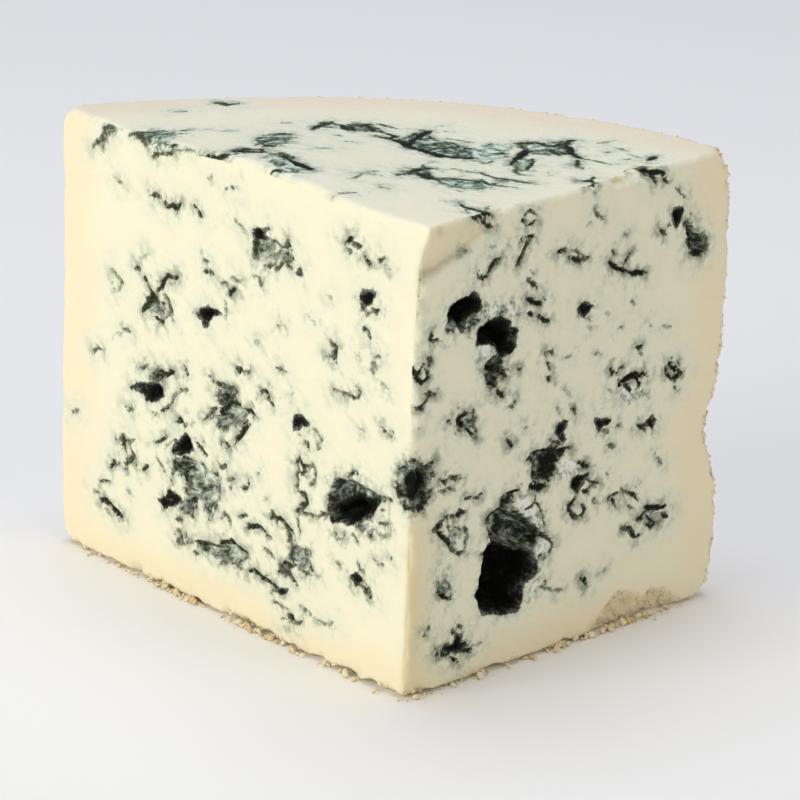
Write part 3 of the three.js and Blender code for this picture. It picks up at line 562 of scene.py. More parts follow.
        (1, 0.7, 9.6, 38.4, 11, 37.8, 12.4, 37.6), (0.8, 0.45, 7, 36.4, 9.6, 36.6, 11, 36),
        (1, 0.4, 4.4, 34.8, 3.6, 33.4), (0.9, 0.45, 5.6, 36.4, 6.6, 36),
        (1, 0.65, 13.6, 34, 15.2, 33.6, 16.2, 33.4, 17.6, 33.8),
        (1.2, 0.8, 7.2, 29.4, 8.4, 28, 9.4, 26.6, 10.2, 25.6), (1.5, 0.9, 9.2, 26.8, 9.9, 26.2),
        (1, 0.65, 10.2, 25.4, 12, 24.3, 13.6, 24.2), (0.9, 0.4, 14.8, 23.6, 15.4, 23.2),
        (1, 0.6, 9, 31.4, 11, 31.2, 12, 31), (1.3, 0.75, 11.8, 31.4, 12.8, 32.2, 13.6, 31.4, 12.4, 31.2),
        (1, 0.6, 9.6, 30.4, 10, 28.8), (1.2, 0.45, 13.6, 28.6, 14.4, 27, 13.8, 25.4),
        (0.9, 0.3, 12, 27.6, 13.6, 27.4), (0.8, 0.35, 11, 29, 10.6, 27.4, 11.2, 26),
        (1.1, 0.9, 7.8, 17.5, 9, 16.9, 10.6, 16.2), (0.9, 0.5, 9.6, 19.4, 10.6, 18.2, 11, 17),
        (1, 0.3, 9, 22, 8.8, 20.6), (1.3, 0.8, 7.8, 8, 8.4, 6.6), (1.2, 0.7, 11.6, 11, 12, 10, 13.2, 9),
        (0.9, 0.45, 12.8, 11.2, 14, 10.2, 14.4, 9), (1.1, 0.85, 14, 6.2, 15.4, 5.4, 16.4, 5.4),
        (1.3, 0.8, 11.2, 5.4, 12.6, 4.4, 13.4, 4), (0.9, 0.35, 16.4, 6.2, 18.6, 6.2),
        (1.1, 0.5, 4, 11.4, 5.2, 11.2, 5.8, 12.2),
        (1.1, 0.95, 18.8, 28.5, 20, 29, 22.4, 29.8, 23, 31.4, 24.2, 32.2, 26.6, 32.3),
        (0.8, 0.8, 26.2, 28.6, 28, 26.6, 30, 24.8, 32, 23.2, 34, 21.8), (1.2, 0.4, 19, 25.4, 20.2, 25.6),
        (1.2, 0.85, 28.4, 28.2, 29.6, 28.4, 30.8, 28.8), (0.8, 0.6, 30.8, 30, 31.8, 28, 32.8, 26, 33.8, 24),
        (1.1, 0.6, 34, 21.6, 35.4, 20.6, 36, 19.6, 35, 18.6), (1, 0.8, 32.4, 18.6, 33.2, 18.8),
        (1.2, 0.5, 33.6, 13.8, 34.4, 13.4), (0.9, 0.4, 32.4, 12.8, 34, 12.4, 36, 11.4, 38.6, 11),
        (1, 0.5, 17.8, 22.6, 18.8, 22.4), (1.3, 0.95, 28.6, 37.3, 30.4, 38, 33, 38.2),
        (1.3, 0.95, 29.6, 32, 31.6, 31.4, 33.4, 31.4), (1.2, 0.9, 36, 37.6, 38, 37, 39.6, 37.2),
        (1.1, 0.7, 34, 39.6, 35, 39, 36.6, 38.6), (1.1, 0.55, 39, 44.6, 40, 43.8, 40.6, 43),
        (1, 0.35, 35.4, 45.4, 36.6, 44), (1.1, 0.85, 41, 33.8, 42.4, 33.6, 43.6, 32.6, 44.2, 32),
        (1.2, 0.75, 42.8, 28.2, 44, 27.8, 45, 28.4), (1.3, 0.85, 45.2, 28.8, 46.2, 28.6, 46.8, 28.4),
        (1.4, 0.55, 43.6, 30, 45, 29.2), (0.9, 0.45, 45.4, 26.2, 46.6, 25),
        (1.2, 0.3, 48.6, 30.4, 49.2, 29.8), (1.2, 0.8, 39, 26.6, 39.4, 25.6, 40.2, 26.8, 40.8, 27.4),
        (1, 0.7, 39.6, 25, 40.6, 23.9, 42.2, 23.4, 43.6, 23.8, 43.4, 25.2, 42.6, 25.8),
        (1.2, 0.9, 23.2, 42.2, 24, 41.2, 24.8, 40.2), (1.4, 0.45, 47.6, 38.2, 49.2, 37.8),
        (1.1, 0.5, 51, 38, 52, 38.6), (1, 0.5, 49, 35.2, 50.4, 35, 51, 34),
        (1.1, 0.6, 56.6, 37.4, 58, 36.6, 59.2, 36), (1, 0.4, 60.8, 35.8, 61.4, 35.4),
        (1.5, 0.95, 51, 45.8, 52.6, 46.2, 54, 46.6, 55.4, 47, 56.2, 46.2, 57.4, 47, 58.6, 46.2),
        (1.4, 0.9, 55.8, 46, 56.2, 45), (1.3, 0.8, 53, 45.2, 54, 44.4, 55, 43.4),
        (1.3, 0.45, 55.4, 44.2, 56, 44.2), (1.5, 0.85, 48.6, 49.4, 49.4, 48.8, 50.2, 48.2),
        (1.5, 0.65, 50.8, 48.8, 51.6, 49), (1, 0.6, 51, 47, 52, 45.8), (1.3, 0.3, 48, 46, 49.2, 44.6),
        (1.4, 0.25, 57.2, 43.4, 58.4, 42.8),
        (1.2, 0.8, 63.4, 46.8, 64, 45.4, 65, 44.4, 66.4, 44, 67.4, 44.6, 66.6, 45.6),
        (1.4, 0.95, 64.4, 46.8, 65.2, 46.2, 66, 45.4), (0.9, 0.5, 64.2, 47.2, 64.8, 48),
        (1, 0.5, 66.4, 47, 67, 46.2), (1.1, 0.55, 65.6, 42.4, 66.8, 41.6), (0.9, 0.5, 42, 60, 43, 59.4),
        (1.1, 0.3, 42.6, 58.4, 44, 57.6), (1.2, 0.2, 47, 60, 48.2, 59.8), (1.4, 0.35, 53.2, 60.8, 54, 60.2),
        (1.1, 0.9, 47.2, 68.8, 48.6, 67.6, 50, 67, 51.4, 66.2, 53, 65.6, 54.6, 65.6, 56.6, 65.2),
        (1.7, 0.95, 48.8, 67.4, 50, 67), (1.2, 0.8, 50.8, 68, 51.8, 68.6, 52.6, 69.6),
        (1.2, 0.55, 47.8, 71, 48.6, 70), (0.9, 0.35, 51, 73.4, 52.2, 72.6), (1.4, 0.9, 34, 73.2, 36, 73.1),
        (1.2, 0.45, 36.8, 73, 38, 72.8, 39.4, 72, 41, 71.2),
        (1.1, 0.7, 37, 71.8, 39, 70.8, 40.6, 70.6, 42, 70.8),
        (1.3, 0.9, 27, 66.8, 28.2, 66.2, 29.2, 65.4, 30.2, 65), (1.2, 0.65, 30.6, 66.4, 31.2, 65.4),
        (1.4, 0.75, 27.4, 63.8, 28.6, 63.2), (1.4, 0.8, 30, 62.8, 31.2, 62, 32.4, 61.2),
        (1.2, 0.6, 26.8, 70, 28.2, 69, 29.4, 68), (1, 0.3, 27.4, 71.2, 28.4, 70.4),
        (1, 0.8, 24.8, 80.4, 26, 79.6, 27.2, 79.4, 28.6, 79.8), (0.9, 0.5, 25.4, 81, 27, 81.8, 28.6, 80.8),
        (1.5, 0.75, 24.4, 76.4, 24.8, 77.4), (1.1, 0.75, 26, 77.2, 27.8, 77.1),
        (1.1, 0.65, 26.6, 76.8, 26, 75.2, 25, 74, 23.8, 73), (1, 0.3, 21.6, 76.8, 23, 76.4),
        (1.1, 0.8, 12.4, 83.8, 13.8, 83, 15, 82.2), (1.1, 0.8, 15, 84.2, 16.4, 83.8, 17.8, 83.4),
        (1.2, 0.75, 15.4, 83.2, 16.4, 82.2, 17, 81), (1.4, 0.7, 16.8, 81, 17.8, 81),
        (1.1, 0.75, 14.8, 73.4, 15, 72.6, 16, 72.3, 17.2, 72.8, 18, 73.8, 18.8, 74.4, 20, 74.8),
        (1.4, 0.8, 17.8, 73.8, 18.8, 74.6), (1.3, 0.35, 10.6, 77.6, 11.8, 77.4),
        (1.1, 0.7, 60, 72.4, 61, 71.8, 61.8, 71), (1.2, 0.6, 62.4, 73, 63.2, 73),
        (1.6, 0.7, 66.4, 72.6, 67.8, 71.6, 69, 71), (1.6, 0.95, 68, 70.4, 69, 70.2),
        (1.5, 0.9, 69.6, 69.4, 70.4, 69.6), (1.7, 0.95, 68.2, 68.2, 69.2, 68),
        (1.3, 0.85, 68.4, 66.8, 70, 66.4, 72, 66.4), (1, 0.6, 71, 69.6, 72.4, 68.8, 73.2, 67.6, 72.4, 66.2),
        (1.1, 0.35, 68, 74, 69, 73.6), (1, 0.45, 63.8, 79.4, 65.2, 78.4, 66.4, 77.6),
        (1.5, 0.9, 56.8, 82.8, 58, 82.6, 59.6, 82.8, 60.6, 82.4), (1.2, 0.75, 57.4, 82.2, 58.6, 81.2),
        (1.3, 0.8, 60.8, 81.6, 61.8, 80.6), (1.2, 0.85, 42, 84.6, 42.8, 83.4),
        (1, 0.7, 41.2, 83.8, 42.4, 83.6), (1, 0.3, 42.4, 82.4, 43.2, 81.8),
        (1, 0.45, 42.8, 79.2, 43.8, 78, 45, 77.4), (1.2, 0.75, 50, 25.2, 51, 24.4, 51.8, 23.4),
        (1.1, 0.7, 50.6, 25.2, 51.6, 25.5, 52.2, 25.4), (1.1, 0.6, 53, 25.8, 54.2, 25.4, 55.2, 24.6),
        (1.1, 0.4, 53.4, 25, 54.2, 24.2), (1.1, 0.65, 55.2, 25, 56.4, 24.4, 57.4, 23.6),
        (1, 0.3, 56.4, 26, 57.2, 25.2), (1.5, 0.6, 53.4, 18.6, 54.4, 18.8, 55.2, 18.2),
        (1.2, 0.65, 57.2, 16.6, 58.6, 16.2), (1.4, 0.9, 59.8, 21.4, 61, 20.8, 62.6, 20.4, 64.8, 20),
        (1.4, 0.75, 57, 19.6, 58.4, 19.6, 59.4, 20.2), (1.4, 0.9, 61.2, 19, 62, 18.4),
        (1.1, 0.75, 60, 18.2, 61.6, 17.4, 63, 17), (1.3, 0.75, 65, 18.4, 66, 18.2),
        (1.2, 0.35, 55, 22.8, 56.4, 21.8), (1.2, 0.9, 43.6, 11.6, 44.4, 11, 45, 10.2),
        (1.4, 0.65, 32.2, 55.4, 33.8, 55.2), (1.2, 0.65, 32.4, 53.8, 33.2, 52.8),
        (1.3, 0.65, 33.8, 51.6, 33, 51, 33.8, 50.2), (1, 0.3, 36.6, 54, 38.6, 54.2),
        (0.9, 0.25, 37, 48.6, 39, 46.6), (1.3, 0.6, 25, 54.2, 26, 54), (1, 0.3, 62, 54.2, 64, 53.8),
        (1.5, 0.8, 55.6, 51.6, 56.4, 51.4), (0.9, 0.35, 56.4, 50.6, 57, 50),
        (1, 0.4, 61.4, 30.8, 62.4, 29.6, 63.6, 28.2), (1, 0.5, -0.2, 75.4, 1, 74),
        (0.9, 0.4, 0, 73, 0.8, 71.6), (0.9, 0.35, 0, 69.4, 0.6, 68.6),
        (1.1, 0.85, 14.4, 83.5, 16.2, 83.3, 17.8, 83.2, 18.4, 82.4),
        (1, 0.8, 15.2, 83.2, 16, 82.4, 16.2, 81.6), (1.4, 0.3, 16.6, 68.4, 17.8, 66.6),
    ],
    "top": [
        (1.5, 0.8, 7.2, 16.9, 4.8, 16, 2.2, 16.6, 0.3, 17), (1.1, 0.4, 2.4, 19.3, 0.5, 17.4),
        (1.2, 0.5, 4.6, 15.6, 1.6, 14.6), (1.4, 0.5, 79, 0.6, 77, 2, 75.6, 3.4, 75.4, 5),
        (1.4, 0.55, 74.6, 3, 73, 4, 72.8, 5.5, 73.4, 7), (1.3, 0.6, 73.2, 7.4, 72.4, 9),
        (1.4, 0.5, 71.6, 5.6, 70.6, 7.2), (1.1, 0.55, 51, 1.6, 50.8, 3),
        (1.4, 0.75, 58.6, 0.2, 55.5, 0.4, 53, 0.8, 51.2, 1.8), (1.7, 0.95, 52.2, 3.7, 50, 5.4, 48.4, 6.9),
        (1.5, 0.8, 46, 8.8, 44, 8.2, 42, 7.2, 40.5, 7.2), (2.2, 0.95, 40.4, 7, 38, 6.8, 34.8, 6.4),
        (1.5, 0.8, 38.8, 1.2, 36.2, 2), (1.1, 0.5, 44.4, 6, 43.4, 7), (1.3, 0.55, 51.8, 12.8, 50.2, 15.8),
        (1.6, 0.6, 53.4, 9.8, 54.5, 13.4, 55.4, 16, 54.4, 17.2), (1.2, 0.6, 54.2, 17, 52.2, 15.4),
        (1, 0.35, 53.4, 17.6, 54, 20.2), (1.4, 0.65, 51.4, 9.6, 50, 11.2),
        (2.4, 0.7, 57.4, 26.8, 59.3, 30.7, 59.7, 33.2), (1.8, 0.8, 57, 33, 54, 32, 52.2, 32.3),
        (1.9, 0.95, 54, 31.9, 52, 32.4), (1.6, 0.75, 56.5, 34, 53.2, 36.4, 49.4, 34.2),
        (1.1, 0.55, 53.8, 39.2, 48.7, 39.9),
        (1.4, 0.8, 49.4, 35.2, 47, 35.6, 44.5, 35.4, 43.8, 33.6, 47, 32.8),
        (2.2, 0.95, 42.6, 34, 38.2, 33, 35, 33.2, 30.3, 33.5, 27.7, 35.4, 25.7, 37),
        (1.8, 0.9, 38.4, 33.4, 41, 37, 42.7, 40, 44, 43.6), (1.4, 0.75, 31.5, 38.4, 28.6, 39.8),
        (1, 0.3, 38.6, 42, 36, 43.4, 33, 44.6), (1.4, 0.6, 26, 42, 24.6, 43.6, 23.4, 44.4),
        (1, 0.6, 24.4, 35.8, 22, 37.4, 22.4, 39.4), (1, 0.4, 27.4, 40.6, 25.4, 40.4),
        (2.2, 0.95, 18.8, 40.6, 20.4, 43.6, 22.4, 47, 23.8, 49), (1.6, 0.6, 23.8, 49, 27.2, 50.4),
        (2.4, 0.65, 27.7, 50.6, 25.5, 53.6, 22.5, 54.6, 21.6, 57.2, 22.5, 59.4),
        (1.8, 0.7, 22, 52.5, 19.5, 51.5, 17, 50.8), (1.4, 0.9, 20.6, 52.4, 19.8, 51.8),
        (1.8, 0.85, 21.5, 57, 18.5, 55, 17.4, 54, 15, 53, 13.5, 52.4), (1.1, 0.5, 9, 48.8, 8, 47.6),
        (1.2, 0.45, 13.5, 52.4, 12, 53.4, 10.4, 53.9, 7.6, 54), (1.4, 0.8, 13.2, 51.4, 11.5, 50, 9.9, 48.3),
        (1, 0.5, 11.4, 47.6, 9.6, 48.6), (1.2, 0.5, 19.4, 41.6, 17, 40, 14.1, 37.4, 12, 37.6),
        (1.3, 0.7, 19, 46, 16.5, 43, 13.8, 39.8), (1.4, 0.8, 24.6, 18.6, 24.2, 20.4),
        (1.4, 0.8, 24, 20.6, 25.4, 24, 25.2, 26.4, 23.6, 27.4),
        (0.9, 0.3, 23.4, 27.8, 22.3, 30.2, 20, 31.4),
        (1.8, 0.85, 24.4, 22.6, 21.9, 22.3, 20, 22.8, 18.6, 22.6), (0.9, 0.4, 13.4, 30.8, 11, 32.6),
        (1.2, 0.65, 19.8, 23.4, 19, 25, 16.3, 26.8, 15.6, 28), (0.9, 0.5, 10.6, 29.8, 7.7, 31.6),
        (1, 0.5, 18.6, 22.4, 15.5, 22.4, 11.8, 24.2, 10.4, 26),
        (1.2, 0.7, 15, 29.6, 12, 28.4, 10.6, 29.6, 9.4, 30.4),
        (1.1, 0.65, 20, 30.8, 18, 32, 14.4, 32.2, 11.2, 33.6, 8.1, 35.8), (1.2, 0.7, 3.6, 46.6, 2.2, 44.6),
        (1.5, 0.85, 3.6, 42.6, 2.2, 44.4, 0.4, 44), (1.8, 0.85, 4.6, 61, 5, 62.4, 5.4, 64),
        (1.4, 0.35, 13.2, 59.2, 12.8, 60), (1.2, 0.5, 7.4, 58.6, 7.4, 59.4),
        (1.6, 0.3, 18.6, 62.6, 17.6, 64.4), (1.1, 0.35, 14.1, 62.3, 11.5, 63.1),
        (1, 0.3, 9.3, 61.6, 5.6, 61.5), (1, 0.3, 84.6, 15, 83.4, 17.4), (1, 0.35, 70.6, 11, 69, 12.2),
        (1, 0.4, 67.8, 12.4, 66.4, 14.4), (1, 0.3, 65, 25.6, 64, 27),
        (2, 0.6, 84.8, 25.6, 82.2, 26.2, 81.8, 28.6), (1, 0.35, 27, 10, 28.6, 14, 28, 17),
        (1.2, 0.4, 22.4, 2.7, 21.2, 5.2), (0.9, 0.3, 30, 12, 26, 15.6), (1, 0.3, 44.9, 15.8, 43.4, 19.3),
    ],
}

# Chips broken off the foot of the right side and off its upper edge: out, up, wide, tall, deep
chips = [(55, 0, 15, 14, 4.6), (62, 0, 17, 10, 4.2), (53, 85, 21, 7, 4)]

# Corners at the rind are rubbed round: numbers of the faces that meet there, in the order of faceDepths, how
# far it reaches, how deep
rubbed = [((0, 2, 4), 4.0, 0.7), ((1, 2, 4), 4.5, 1.0)]

# The top rises a little towards its left corner: numbers of the faces, how far it reaches, how high
raised = {"faces": (0, 2, 4), "reach": 26.0, "high": 0.8}

# A hole opens on the tip edge: how high its middle is, how far it reaches and how deep it goes
edgePit = {"up": 38.8, "reach": 4.6, "deep": 2.6}

# The tip edge is worn to a slope near the top: where it starts on the edge, the way it faces, and the size
# and depth of its unevenness
tipSlope = {"up": 74.0, "way": (-0.31, -0.87, 0.38), "unevenness": (2.4, 0.35)}

# A flake lifted off the right side below the top of the tip: how deep, how wide the slope at its edge, how
# far its floor takes to rise again, and points of the outline
flake = {
    "deep": 0.8,
    "slope": 0.7,
    "fade": 5.0,
    "outline": (0.4, 74.6, 4, 75, 8, 76.2, 14, 78.4, 21, 82, 24, 85.6, 8, 86, 1.4, 85.6, 0, 80),
}

# Painted shadow along its lower edge: a soft brown line stands in for the shade there. Points of it, and
# darker brown spots as out, up, wide, dark
flakeEdgeShadow = {
    "path": (0, 74.6, 4, 75.7, 8, 76.7, 11, 77.6),
    "wide": 0.8,
    "dark": 0.25,
    "tipDark": 0.3,    # more at the tip edge
    "tipReach": 4.0,
    "spots": [(0.8, 74.8, 1.2, 0.75), (2.4, 75.3, 1.0, 0.5), (0.6, 72.6, 0.9, 0.45), (1.0, 70.0, 1.3, 0.35),
              (11.0, 77.8, 0.7, 0.5), (4.4, 82.2, 0.8, 0.4)],
}

# Near the top the tip edge runs off to the right: the heights between which it does, how far, and how wide
# about the edge
tipDrift = {"up": (75.0, 84.0), "far": 2.4, "reach": 9.0}

# Small faint flecks are strewn between the larger marks, away from the rind.
flecks = {
    "seed": 11,
    "number": 10,
    "wide": (0.6, 0.9),
    "long": (0.8, 2.4),
    "dark": (0.2, 0.5),
    "nearest": (2, 10),   # to the tip edge and to the foot
    "clear": 16.0,        # of the rind
    "below": 2,           # the upper edge
    "topSpan": (74, 56),
}

faceAxes = {
    "left": np.array([-leftWay[1], leftWay[0], 0]),
    "right": np.array([rightWay[1], -rightWay[0], 0]),
    "top": np.array([0.0, 0.0, 1.0]),
}
faceNumber = {"left": 0, "right": 1, "top": 4}
softness = {"left": (1.0, 0.9), "right": (1.0, 1.0), "top": (0.12, 0.92)}  # of marks: depth and darkness


# Places of points on a face: out from the tip edge and up from the foot, or along both sides for the top
def facePlaces(face, points):
    if face == "top":
        return sideDistances(points[:, 0], points[:, 1])
    return points[:, :2] @ (leftWay if face == "left" else rightWay), points[:, 2]


# Distance from a path through corners, and which places lie inside where it closes
def pathDistance(corners, a, b, closed):
    ends = np.roll(corners, -1, 0) if closed else corners[1:]
    distance = np.full(len(a), 1e9)
    inside = np.zeros(len(a), bool)
    for (x, y), (dx, dy) in zip(corners, ends - corners[:len(ends)]):
        share = np.clip(((a - x) * dx + (b - y) * dy) / (dx * dx + dy * dy), 0, 1)
        distance = np.minimum(distance, np.hypot(a - x - share * dx, b - y - share * dy))
        crossed = (b >= min(y, y + dy)) & (b < max(y, y + dy))
        if dy:
            inside ^= crossed & (a < x + (b - y) * dx / dy)
    return distance, inside


# Unevenness of several sizes added up, each times its share. Every use has seeds of its own.
def layered(sizes, seed, step=1):
    return sum(share * unevenness(plain, size, seed + step * n) for n, (size, share) in enumerate(sizes))


cutDepth = (layered(relief["cut"], 3) + sum(depth for size, depth in relief["cut"])) / 2
rindDepth = (layered(relief["rind"], 13) + sum(depth for size, depth in relief["rind"])) / 2
depths = np.stack(faceDepths(plain))
fromEdge = -np.sort(depths, 0)[-2]
rindness = smoothStep(depths[2], -1.6, -0.4)
flat = smoothStep(-outward[:, 2], 0.7, 0.95)  # the foot stays flat
bits = np.clip(layered(relief["bits"], 21), 0, 1)
rimBits = np.clip(layered(relief["rimBits"], 23), 0, 1)
tipBits = np.clip(0.5 + layered(relief["tipBits"], 25), 0, 1)
deep, spread = relief["edgeWear"]
wear = deep * bell(fromEdge, spread) * (0.25 + bits)
crumble = relief["footCrumble"] * smoothStep(-plain[:, 2], -4.0, -0.5) * (1 - rindness) * bits

# Wear along an edge: its depth times a bell over the distance from each of the two faces that meet there
edges = [("rimCrumble", 1, 2, rimBits), ("backWear", 4, 2, 0.3 + rimBits), ("tipWear", 0, 1, tipBits)]
for kind, first, second, rough in edges:
    deep, spread = relief[kind]
    wear += deep * bell(depths[first], spread) * bell(depths[second], spread) * rough
inward = cutDepth * (1 - rindness) + rindDepth * rindness + wear + crumble
points = plain - outward * (inward * (1 - flat))[:, None]

wander = np.stack([layered(relief["wander"], 31 + axis, 7) for axis in range(2)])
swell = 1 + layered(relief["swell"], 51)
pitRough = 1 + layered(relief["pitRough"], 61)

# How far inside the nearest hole, patch and stroke each vertex lies, and how dark that patch and stroke are
holeIn, patchIn, strokeIn = np.full((3, len(plain)), -9.0)
patchDark, strokeDark, pit = np.zeros((3, len(plain)))


# Where a mark lies further inside than those before it, it takes over.
def lay(inside, dark, near, within, value):
    better = within > inside[near]
    inside[near[better]] = within[better]
    dark[near[better]] = value


# Each mark sinks its floor over a short slope, and less towards the edges of the face.
def markFace(face):
    number = faceNumber[face]
    others = np.delete(depths, number, 0).max(0)
    band = np.nonzero(depths[number] > -relief["skin"])[0]
    a, b = facePlaces(face, plain[band])
    a = a + wander[0, band]
    b = b + wander[1, band]
    keep = smoothStep(-others[band], 0.0, relief["keep"])
    shallow, faint = softness[face]
    spans = flecks["topSpan"] if face == "top" else (wedge[face + "Length"], wedge["tipHeight"])
    furthest = (spans[0] - flecks["clear"], spans[1] - flecks["below"])
    rng = np.random.default_rng(flecks["seed"] + number)
    strewn = []
    for fleck in range(flecks["number"]):
        start = rng.uniform(flecks["nearest"], furthest)
        way = rng.uniform(*flecks["long"]) * np.array([math.cos(fleck), 0.6 * math.sin(fleck)])
        strewn.append((rng.uniform(*flecks["wide"]), rng.uniform(*flecks["dark"]), *start, *(start + way)))
    rows = [("hole", row) for row in holes[face]] + [("patch", row) for row in patches[face]]
    rows += [("stroke", row) for row in strokes[face] + strewn]
    for kind, row in rows:
        corners = np.array(row[1 if kind == "hole" else 2:]).reshape(-1, 2)
        low, high = corners.min(0) - relief["around"], corners.max(0) + relief["around"]
        close = np.nonzero((a > low[0]) & (a < high[0]) & (b > low[1]) & (b < high[1]))[0]
        near = band[close]
        distance, inside = pathDistance(corners, a[close], b[close], kind != "stroke")
        within = np.where(inside, distance, -distance)
        if kind == "hole":
            holeIn[near] = np.maximum(holeIn[near], within)
            floor = row[0] * smoothStep(within, *relief["holeSlope"]) * pitRough[near]
        elif kind == "patch":
            lay(patchIn, patchDark, near, within, row[1])
            floor = shallow * row[0] * smoothStep(within, *relief["patchSlope"]) * pitRough[near]
        else:
            toEnd = np.minimum(*[np.hypot(a[close] - x, b[close] - y) for x, y in corners[[0, -1]]])
            taper = relief["strokeEnd"] + (1 - relief["strokeEnd"]) * smoothStep(toEnd, -0.3, 1.5 * row[0])
            within = relief["strokeHalf"] * row[0] * taper * swell[near] - distance
            lay(strokeIn, strokeDark, near, within, faint * row[1])
            faintDeep, darkDeep = relief["strokeDeep"]
            floor = shallow * (faintDeep + darkDeep * row[1]) * smoothStep(within, -0.4, row[0] / 2)
        pit[near] = np.maximum(pit[near], floor * keep[close])
    level = np.stack(faceDepths(points))[number, band]
    drop = np.maximum(0, np.where(pit[band] > 0, pit[band] + level, 0))
    points[band] -= drop[:, None] * faceAxes[face]


# A chip's floor lies at deep times (1 - r cubed), where r is the distance from its middle over its half
# width and half height. Its outline wanders twice as far as a mark's.
for out, up, wide, tall, deep in chips:
    a, b = facePlaces("right", plain)
    r = np.hypot(2 * (a + 2 * wander[0] - out) / wide, 2 * (b + 2 * wander[1] - up) / tall)
    floor = deep * np.clip(1 - r ** 3, 0, None) * pitRough * (0.5 + 0.8 * bits)
    level = faceDepths(points)[1]
    drop = np.where((r < 1) & (level > -floor - 1.0), np.maximum(0, floor + level), 0)
    points -= drop[:, None] * faceAxes["right"]

# Rubbed corners move inwards and the raised one up. The tip edge gets its hole, its drift and its slope.
for meeting, reach, deep in rubbed:
    corner = plain[np.argmax(depths[list(meeting)].sum(0))]
    into = (middle - corner) * (1, 1, 0.5)
    into = into / np.linalg.norm(into)
    rub = 1 - smoothStep(np.linalg.norm(plain - corner, axis=1) / reach, 0.0, 1.0)
    points += (deep * rub)[:, None] * into
corner = plain[np.argmax(depths[list(raised["faces"])].sum(0))]
rise = 1 - smoothStep(np.linalg.norm(plain - corner, axis=1) / raised["reach"], 0.0, 1.0)
points[:, 2] += raised["high"] * rise
fromPit = np.linalg.norm(points - (0, 0, edgePit["up"]), axis=1) / edgePit["reach"]
points[:, 1] += edgePit["deep"] * (1 - smoothStep(fromPit, 0.2, 1.0)) * pitRough
drift = tipDrift["far"] * smoothStep(plain[:, 2], *tipDrift["up"])
drift *= bell(np.hypot(plain[:, 0], plain[:, 1]), tipDrift["reach"])
points += drift[:, None] * np.append(rightWay, 0)
wornWay = np.array(tipSlope["way"])
size, deep = tipSlope["unevenness"]
wornDepth = (points - (0, 0, tipSlope["up"])) @ wornWay + deep * unevenness(plain, size, 71)
points -= np.maximum(0, wornDepth)[:, None] * wornWay

# The flake's floor fades out away from its edge and towards the tip edge.
a, b = facePlaces("right", plain)
outline = np.array(flake["outline"]).reshape(-1, 2)
distance, inside = pathDistance(outline, a + wander[0], b + wander[1], True)
flakeIn = np.where(inside, distance, -distance)
floor = flake["deep"] * smoothStep(flakeIn, -0.1, flake["slope"])
floor *= bell(np.clip(flakeIn - flake["slope"], 0, None), flake["fade"]) * smoothStep(a, 0, 4)
blend = smoothStep(depths[1], -4.0, -0.3)
points -= (floor * blend)[:, None] * faceAxes["right"]
# Painted shadow: a soft brown line along the flake's lower edge, darker towards the tip edge, with darker
# spots
path = np.array(flakeEdgeShadow["path"]).reshape(-1, 2)
distance = pathDistance(path, a + wander[0], b + wander[1], False)[0]
flakeEdgeShading = flakeEdgeShadow["dark"] + flakeEdgeShadow["tipDark"] * bell(a, flakeEdgeShadow["tipReach"])
flakeEdgeShading *= bell(distance, flakeEdgeShadow["wide"])
for out, up, wide, dark in flakeEdgeShadow["spots"]:
    flakeEdgeShading = np.maximum(flakeEdgeShading, dark * bell(np.hypot(a - out, b - up), wide))
# Painted shade: the right side is darker and tanner low down near the tip edge
lowTipShade = bell(a, 5.5) * (1 - smoothStep(b, 22, 48))
for face in faceNumber:
    markFace(face)

# Marks for the shader: signed millimetres inside holes, patches and strokes, with how dark they are. Soil is
# the grey paste close round them and halo the paler paste further out. One mark holds the tanner paste of the
# flake and painted shade at the low tip, another the painted shadow below the flake, a soft brown line.
# Margin is the yellower paste towards the rind and the foot, and upper the top.
anyIn = np.maximum(np.maximum(holeIn, patchIn), strokeIn - 1.5 * (1 - strokeDark))
onRight = smoothStep(depths[1], -1.6, -0.2)
soil = np.maximum(strokeDark * bell(np.clip(-strokeIn, 0, None), 1.4),
                  (0.3 + patchDark) * bell(np.clip(-patchIn, 0, None), 1.6))
marks = {
    "hole": np.clip(holeIn, -3, 3),
    "patch": np.clip(patchIn, -3, 3),
    "patchDark": patchDark,
    "stroke": np.clip(strokeIn, -3, 3),
    "strokeDark": strokeDark,
    "soil": np.maximum(soil, 0.6 * bell(np.clip(-holeIn, 0, None), 1.0)),
    "halo": bell(np.clip(-anyIn, 0, None), 4.2),
    "flakeTanLowTipShade": onRight * np.maximum(0.6 * smoothStep(flakeIn, -0.6, 1.2), lowTipShade),
    "flakeEdgeShadow": onRight * flakeEdgeShading,
    "upper": smoothStep(depths[4], -relief["skin"], -0.2),
    "margin": np.maximum(smoothStep(depths[2], -19.0, -1.0), smoothStep(-plain[:, 2], -12.0, -0.5)),
}
print("wedge: relief cut, deepest pit", pit.max().round(2), "mm")


# Quads are split along their shorter diagonal.
def splitQuads(corners, index):
    p = corners[index]
    longFirst = ((p[:, 0] - p[:, 2]) ** 2).sum(1) > ((p[:, 1] - p[:, 3]) ** 2).sum(1)
    split = np.where(longFirst[:, None], index[:, [1, 2, 3, 1, 3, 0]], index[:, [0, 1, 2, 0, 2, 3]])
    return split.reshape(-1, 3)


